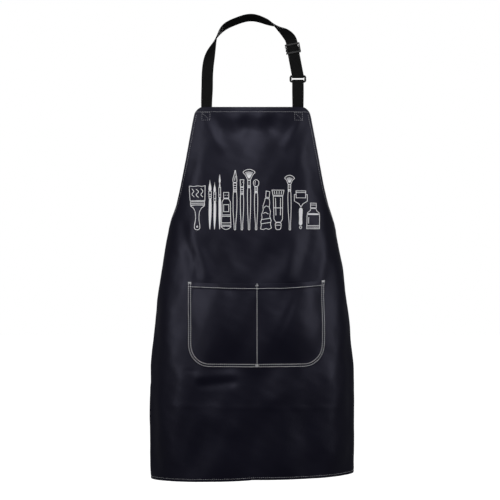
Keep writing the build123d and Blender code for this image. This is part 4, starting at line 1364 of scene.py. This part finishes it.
def straps():
    """Neck strap, its return from the ring, its folded end and the tab that holds the ring."""
    strap = ribbon("neck_webbing", *strap_route(), step=0.0013)
    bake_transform(strap)
    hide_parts("neck_strap", "strap_left_end")

    back = BAR_DEPTH + BAR_TURN
    low = FOOT + np.array([0, 2 * RING_TURN, 0])
    high = slider_spot(back, -STRAP_END - LAYER_GAP)
    share = np.linspace(0, 1, 40)[:, None]
    rise = ribbon("strap_return_webbing", low + (high - low) * share,
                  np.repeat([STRAND_ACROSS], 40, 0))
    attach(rise, "neck_loop")
    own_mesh(rise)
    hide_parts("strap_return")

    front_low = back - WEB_THICK - LAYER_GAP
    share = np.linspace(0, 1, 24)[:-1]
    depth = front_low + (BAR_DEPTH - BAR_TURN - front_low) * ease(share)
    first = [slider_spot(d, -STRAP_END * (1 - s)) for d, s in zip(depth, share)]
    turn = np.linspace(0, np.pi, 24)
    fold = [slider_spot(BAR_DEPTH - BAR_TURN * math.cos(t), BAR_TURN * math.sin(t)) for t in turn]
    last = [slider_spot(back, -STRAP_END * s) for s in np.linspace(0, 1, 24)[1:]]
    path = np.array(first + fold + last)
    end = ribbon("strap_end_webbing", path, np.repeat([STRAND_ACROSS], len(path), 0), step=0.0008)
    mount(end, "strap_end", "slider")

    outer = back + WEB_THICK / 2 + 0.0001
    half = WEB / 2 - 0.003
    corners = [(-half, -0.006), (half, -0.006), (half, -STRAP_END + 0.003),
               (-half, -STRAP_END + 0.003),
               (-half, -0.006), (half, -STRAP_END + 0.003)]
    path = [slider_spot(outer, b) + STRAND_ACROSS * a for a, b in corners]
    width = bpy.context.scene.apron_thread.hem_width * 0.8
    box = stitches("strap_end_stitches", [path], "webbing_thread", width, BOX_STITCH)
    mount(box, "strap_end_thread", "slider")

    top = np.array([RING_CENTRE.x, RING_CENTRE.y, BIB_Z + SPLIT])
    rise = np.linspace(-STRAP_TUCK, SPLIT, 60)
    legs = []
    for layers, sign in ((1, -1), (2, 1)):
        centre, across = behind_bib(1, -rise, layers)
        share = ease(rise / SPLIT)[:, None]
        goal = top[:2] + np.array([0, sign * RING_TURN])
        centre[:, :2] += (goal - centre[:, :2]) * share
        legs.append((centre, across * (1 - share) + np.array([1.0, 0, 0]) * share))
    turn = np.linspace(0, np.pi, 24)[1:-1]
    fold = top + np.stack([0 * turn, -RING_TURN * np.cos(turn), RING_TURN * np.sin(turn)], 1)
    path = np.concatenate([legs[0][0], fold, legs[1][0][::-1]])
    across = np.concatenate([legs[0][1], np.repeat([[1.0, 0, 0]], len(fold), 0), legs[1][1][::-1]])
    mount(ribbon("ring_tab_webbing", path, across, step=0.0012), "ring_tab")


def waist_ties():
    """Ties from inside the waist corners round to a bow behind, each with a loop and a tail."""
    cloth = bpy.context.scene.apron_cloth
    wide, deep = float(half_width(TIE_V)), float(half_depth(TIE_V))
    squares = math.sqrt((3 * wide + deep) * (wide + 3 * deep))
    half_round = math.pi / 2 * (3 * (wide + deep) - squares)
    knot = (Vector(KNOT_LOW) + Vector(KNOT_HIGH)) / 2
    root = (KNOT_HIGH.x - KNOT_LOW.x) / 2 + 0.002
    loop, tail = 0.095, 0.230
    level = (KNOT_HIGH.z - KNOT_LOW.z) / 2 + 0.002
    for name, side in (("left", -1), ("right", 1)):
        u = np.linspace(CUT_HALF - TIE_TUCK, half_round - root, 140)
        under = cloth.thickness * cloth.hem_layers + 2 * LAYER_GAP + WEB_THICK / 2
        level_v = np.full(u.shape, TIE_V)
        sewn_u = side * np.minimum(u, CUT_HALF - SEWN_IN)
        far, out = oval(side * u, level_v)
        share = ease((u - CUT_HALF + SEWN_IN) / 0.03)[:, None]
        moved = on_cloth(sewn_u, level_v, -under) - oval(sewn_u, level_v)[0]
        path = far + moved * (1 - share) - out * under * share
        above, _ = oval(side * u, level_v - WEB / 2)
        below, _ = oval(side * u, level_v + WEB / 2)
        pieces = [ribbon(f"run_{name}", path, above - below, step=0.0022)]
        route = [(root, -5, 3), (root + loop * 0.4, -9, 6), (root + loop * 0.86, -7, -11),
                 (root + loop, 1, -17),
                 (root + loop * 0.86, 9, -14), (root + loop * 0.4, 9, 0), (root, 5, -3)]
        knots = [np.array([side * x, y * MM, z * MM]) + np.array(knot) for x, y, z in route]
        at, total = smooth_line(knots, (side, 0, 0), (-side, 0, 0))
        path = at(np.linspace(0, total, 140))
        pieces.append(ribbon(f"loop_{name}", path, np.repeat([[0.0, 0, 1]], 140, 0), step=0.0022))
        route = [(6, side * 3, 0), (16, side * 3 + 2, 0.3), (24, side * 3 - 3, 0.65),
                 (28, side * 3, 1)]
        knots = [np.array([side * x * MM, y * MM, -level - tail * s]) + np.array(knot) for x, y,
                 s in route]
        at, total = smooth_line(knots, (side * 0.12, 0.02, -1), (side * 0.06, 0.03, -1))
        path = at(np.linspace(0, total, 140))
        pieces.append(ribbon(f"tail_{name}", path, np.repeat([[1.0, 0.25 * side, 0]], 140, 0),
                             step=0.0022))
        mount(join(pieces, f"waist_webbing_{name}"), f"waist_tie_{name}")


def bow_knot():
    """The turn of webbing pulled tight round the middle of the bow."""
    centre = np.array((Vector(KNOT_LOW) + Vector(KNOT_HIGH)) / 2)
    size = np.array(KNOT_HIGH) - np.array(KNOT_LOW)
    rows, columns = 64, 40
    turn = np.linspace(0, 2 * np.pi, rows + 1)
    share = np.linspace(-1, 1, columns + 1)
    angle, across = np.meshgrid(turn, share, indexing="ij")
    pinch = 0.86 + 0.14 * across ** 2
    crease = 1 - 0.05 * ridge(across - 0.25 * np.sin(angle), 0.18)
    round_end = np.sqrt(np.clip(1 - np.abs(across) ** 10, 0, 1)) * 0.9 + 0.1
    curve = np.sign(np.cos(angle)) * np.abs(np.cos(angle)) ** 0.62
    rise = np.sign(np.sin(angle)) * np.abs(np.sin(angle)) ** 0.62
    ribs = 1 + 0.012 * np.abs(np.sin(across * np.pi * 6))
    x = across * size[0] / 2 * 0.98
    y = curve * size[1] / 2 * pinch * crease * round_end * ribs * 0.97
    z = rise * size[2] / 2 * pinch * crease * round_end * ribs * 0.97 + 0.0015 * across
    points = np.stack([x, y, z], -1) + centre
    uvs = np.stack([across * WEB / 2, angle * 0.012], -1)
    obj = new_object("bow_knot_webbing", points.reshape(-1, 3), grid_faces(rows + 1, columns + 1),
                     look("ribbed_webbing"), uvs=uvs.reshape(-1, 2))
    weld(obj)
    mesh = bmesh.new()
    mesh.from_mesh(obj.data)
    bmesh.ops.holes_fill(mesh, edges=mesh.edges)
    bmesh.ops.recalc_face_normals(mesh, faces=mesh.faces)
    mesh.to_mesh(obj.data)
    mesh.free()
    mount(obj, "bow_knot")


def hardware():
    """Finish of the slider and the ring, whose shapes come from the design."""
    for name in ("slider", "square_ring"):
        for slot in bpy.data.objects[name].material_slots:
            slot.material = look("moulded_plastic")


# ------------------------------------------------------------------ stage
FLOOR_HALF = 14.0
SENSOR = 36                               # width of the camera's sensor, millimetres
LIGHTS = (
    # name, place, aim, size in metres, watts
    ("front_top", (-0.1, -2.2, 0.55), (0, 0, -0.35), (1.5, 1.3), 29),
    ("left_box", (-1.5, -0.9, -0.35), (0, 0, -0.5), (0.5, 1.0), 8),
    ("right_box", (1.5, -0.8, -0.4), (0, 0, -0.5), (0.5, 1.0), 7),
    ("back_box", (0.3, 2.2, 0.5), (0.0, 0.0, BIB_Z - LENGTH / 2), (1.8, 1.2), 60),
)


def soft_light(name, place, target, size, power):
    light = bpy.data.lights.new(name, "AREA")
    light.shape = "RECTANGLE"
    light.size, light.size_y = size
    light.energy = power
    obj = placed(name, light)
    obj.location = place
    obj.rotation_euler = (Vector(target) - Vector(place)).to_track_quat("-Z", "Y").to_euler()


def floor_look(nodes, links, shader):
    place = in_space(nodes)
    tinted(nodes, links, shader, noise(nodes, links, place, 2.0), (0.90, 0.90, 0.90),
           (0.93, 0.93, 0.93))
    shader.inputs["Roughness"].default_value = 0.85
    shader.inputs["Emission Color"].default_value = (1, 1, 1, 1)
    shader.inputs["Emission Strength"].default_value = 1.0


def stage():
    """Pale floor, soft studio lights, white surroundings and the camera."""
    settings = bpy.context.scene.apron_stage
    floor_z = PANEL_LOW.z - settings.floor_drop
    corners = [(x * FLOOR_HALF, y * FLOOR_HALF, floor_z) for x,
               y in ((-1, -1), (1, -1), (1, 1), (-1, 1))]
    floor = new_object("floor", corners, [(0, 1, 2, 3)], material("pale_floor", floor_look),
                       smooth=False)
    floor.visible_diffuse = floor.visible_glossy = False

    world = bpy.data.worlds.new("studio")
    world.use_nodes = True
    nodes, links = world.node_tree.nodes, world.node_tree.links
    back = nodes["Background"]
    back.inputs["Color"].default_value = (0.07, 0.07, 0.075, 1)
    back.inputs["Strength"].default_value = 1.0
    seen = nodes.new("ShaderNodeBackground")
    seen.inputs["Color"].default_value = (1, 1, 1, 1)
    seen.inputs["Strength"].default_value = 1.0
    path = nodes.new("ShaderNodeLightPath")
    mix = nodes.new("ShaderNodeMixShader")
    links.new(path.outputs["Is Camera Ray"], mix.inputs["Fac"])
    links.new(back.outputs["Background"], mix.inputs[1])
    links.new(seen.outputs["Background"], mix.inputs[2])
    links.new(mix.outputs["Shader"], nodes["World Output"].inputs["Surface"])
    bpy.context.scene.world = world

    for light in LIGHTS:
        soft_light(*light)

    camera = bpy.data.cameras.new("camera")
    camera.sensor_width = SENSOR
    camera.lens = SENSOR * settings.distance / settings.frame_width
    camera.clip_end = 60
    eye = placed("camera", camera)
    eye.location = (settings.eye_side, FRONT_Y - settings.distance, BIB_Z - settings.eye_drop)
    eye.rotation_euler = (math.pi / 2, 0, 0)
    bpy.context.scene.camera = eye
    bpy.context.scene.view_settings.view_transform = "Standard"


class APRON_OT_cloth(bpy.types.Operator):
    """Build the body cloth and the pocket cloth"""
    bl_idname = "apron.cloth"
    bl_label = "Cloth"

    def execute(self, context):
        body_cloth()
        pocket_cloth()
        return {"FINISHED"}


class APRON_OT_stitches(bpy.types.Operator):
    """Sew the pocket, the hems and the strap ends"""
    bl_idname = "apron.stitches"
    bl_label = "Stitches"

    def execute(self, context):
        pocket_stitches()
        hem_stitches()
        return {"FINISHED"}


class APRON_OT_print(bpy.types.Operator):
    """Press the print on the bib"""
    bl_idname = "apron.print"
    bl_label = "Print"

    def execute(self, context):
        print_figures()
        return {"FINISHED"}


class APRON_OT_straps(bpy.types.Operator):
    """Build the neck strap, its return, its folded end and the ring's tab"""
    bl_idname = "apron.straps"
    bl_label = "Neck strap"

    def execute(self, context):
        straps()
        return {"FINISHED"}


class APRON_OT_ties(bpy.types.Operator):
    """Build the waist ties and the bow"""
    bl_idname = "apron.ties"
    bl_label = "Waist ties"

    def execute(self, context):
        waist_ties()
        bow_knot()
        return {"FINISHED"}


class APRON_OT_hardware(bpy.types.Operator):
    """Give the slider and the ring their moulded finish"""
    bl_idname = "apron.hardware"
    bl_label = "Slider and ring"

    def execute(self, context):
        hardware()
        return {"FINISHED"}


class APRON_OT_stage(bpy.types.Operator):
    """Set the floor, the lights and the camera"""
    bl_idname = "apron.stage"
    bl_label = "Stage"

    def execute(self, context):
        stage()
        return {"FINISHED"}


OPERATORS = (APRON_OT_cloth, APRON_OT_stitches, APRON_OT_print, APRON_OT_straps, APRON_OT_ties,
             APRON_OT_hardware, APRON_OT_stage)
GROUPS = {"apron_cloth": ApronCloth, "apron_thread": ApronThread, "apron_print": ApronPrint,
          "apron_webbing": ApronWebbing, "apron_stage": ApronStage}


class APRON_PT_panel(bpy.types.Panel):
    """Sizes, colours and building steps of the apron"""
    bl_idname = "APRON_PT_panel"
    bl_label = "Painting apron"
    bl_space_type = "VIEW_3D"
    bl_region_type = "UI"
    bl_category = "Apron"

    def draw(self, context):
        for name, group in GROUPS.items():
            box = self.layout.box()
            for key in group.__annotations__:
                box.prop(getattr(context.scene, name), key)
        for operator in OPERATORS:
            self.layout.operator(operator.bl_idname)


def register():
    for cls in (*GROUPS.values(), *OPERATORS, APRON_PT_panel):
        bpy.utils.register_class(cls)
    for name, group in GROUPS.items():
        setattr(bpy.types.Scene, name, PointerProperty(type=group))


def unregister():
    for name in GROUPS:
        delattr(bpy.types.Scene, name)
    for cls in (APRON_PT_panel, *reversed(OPERATORS), *reversed(GROUPS.values())):
        bpy.utils.unregister_class(cls)


def main():
    register()
    for operator in OPERATORS:
        group, name = operator.bl_idname.split(".")
        getattr(getattr(bpy.ops, group), name)()


if __name__ == "__main__":
    main()
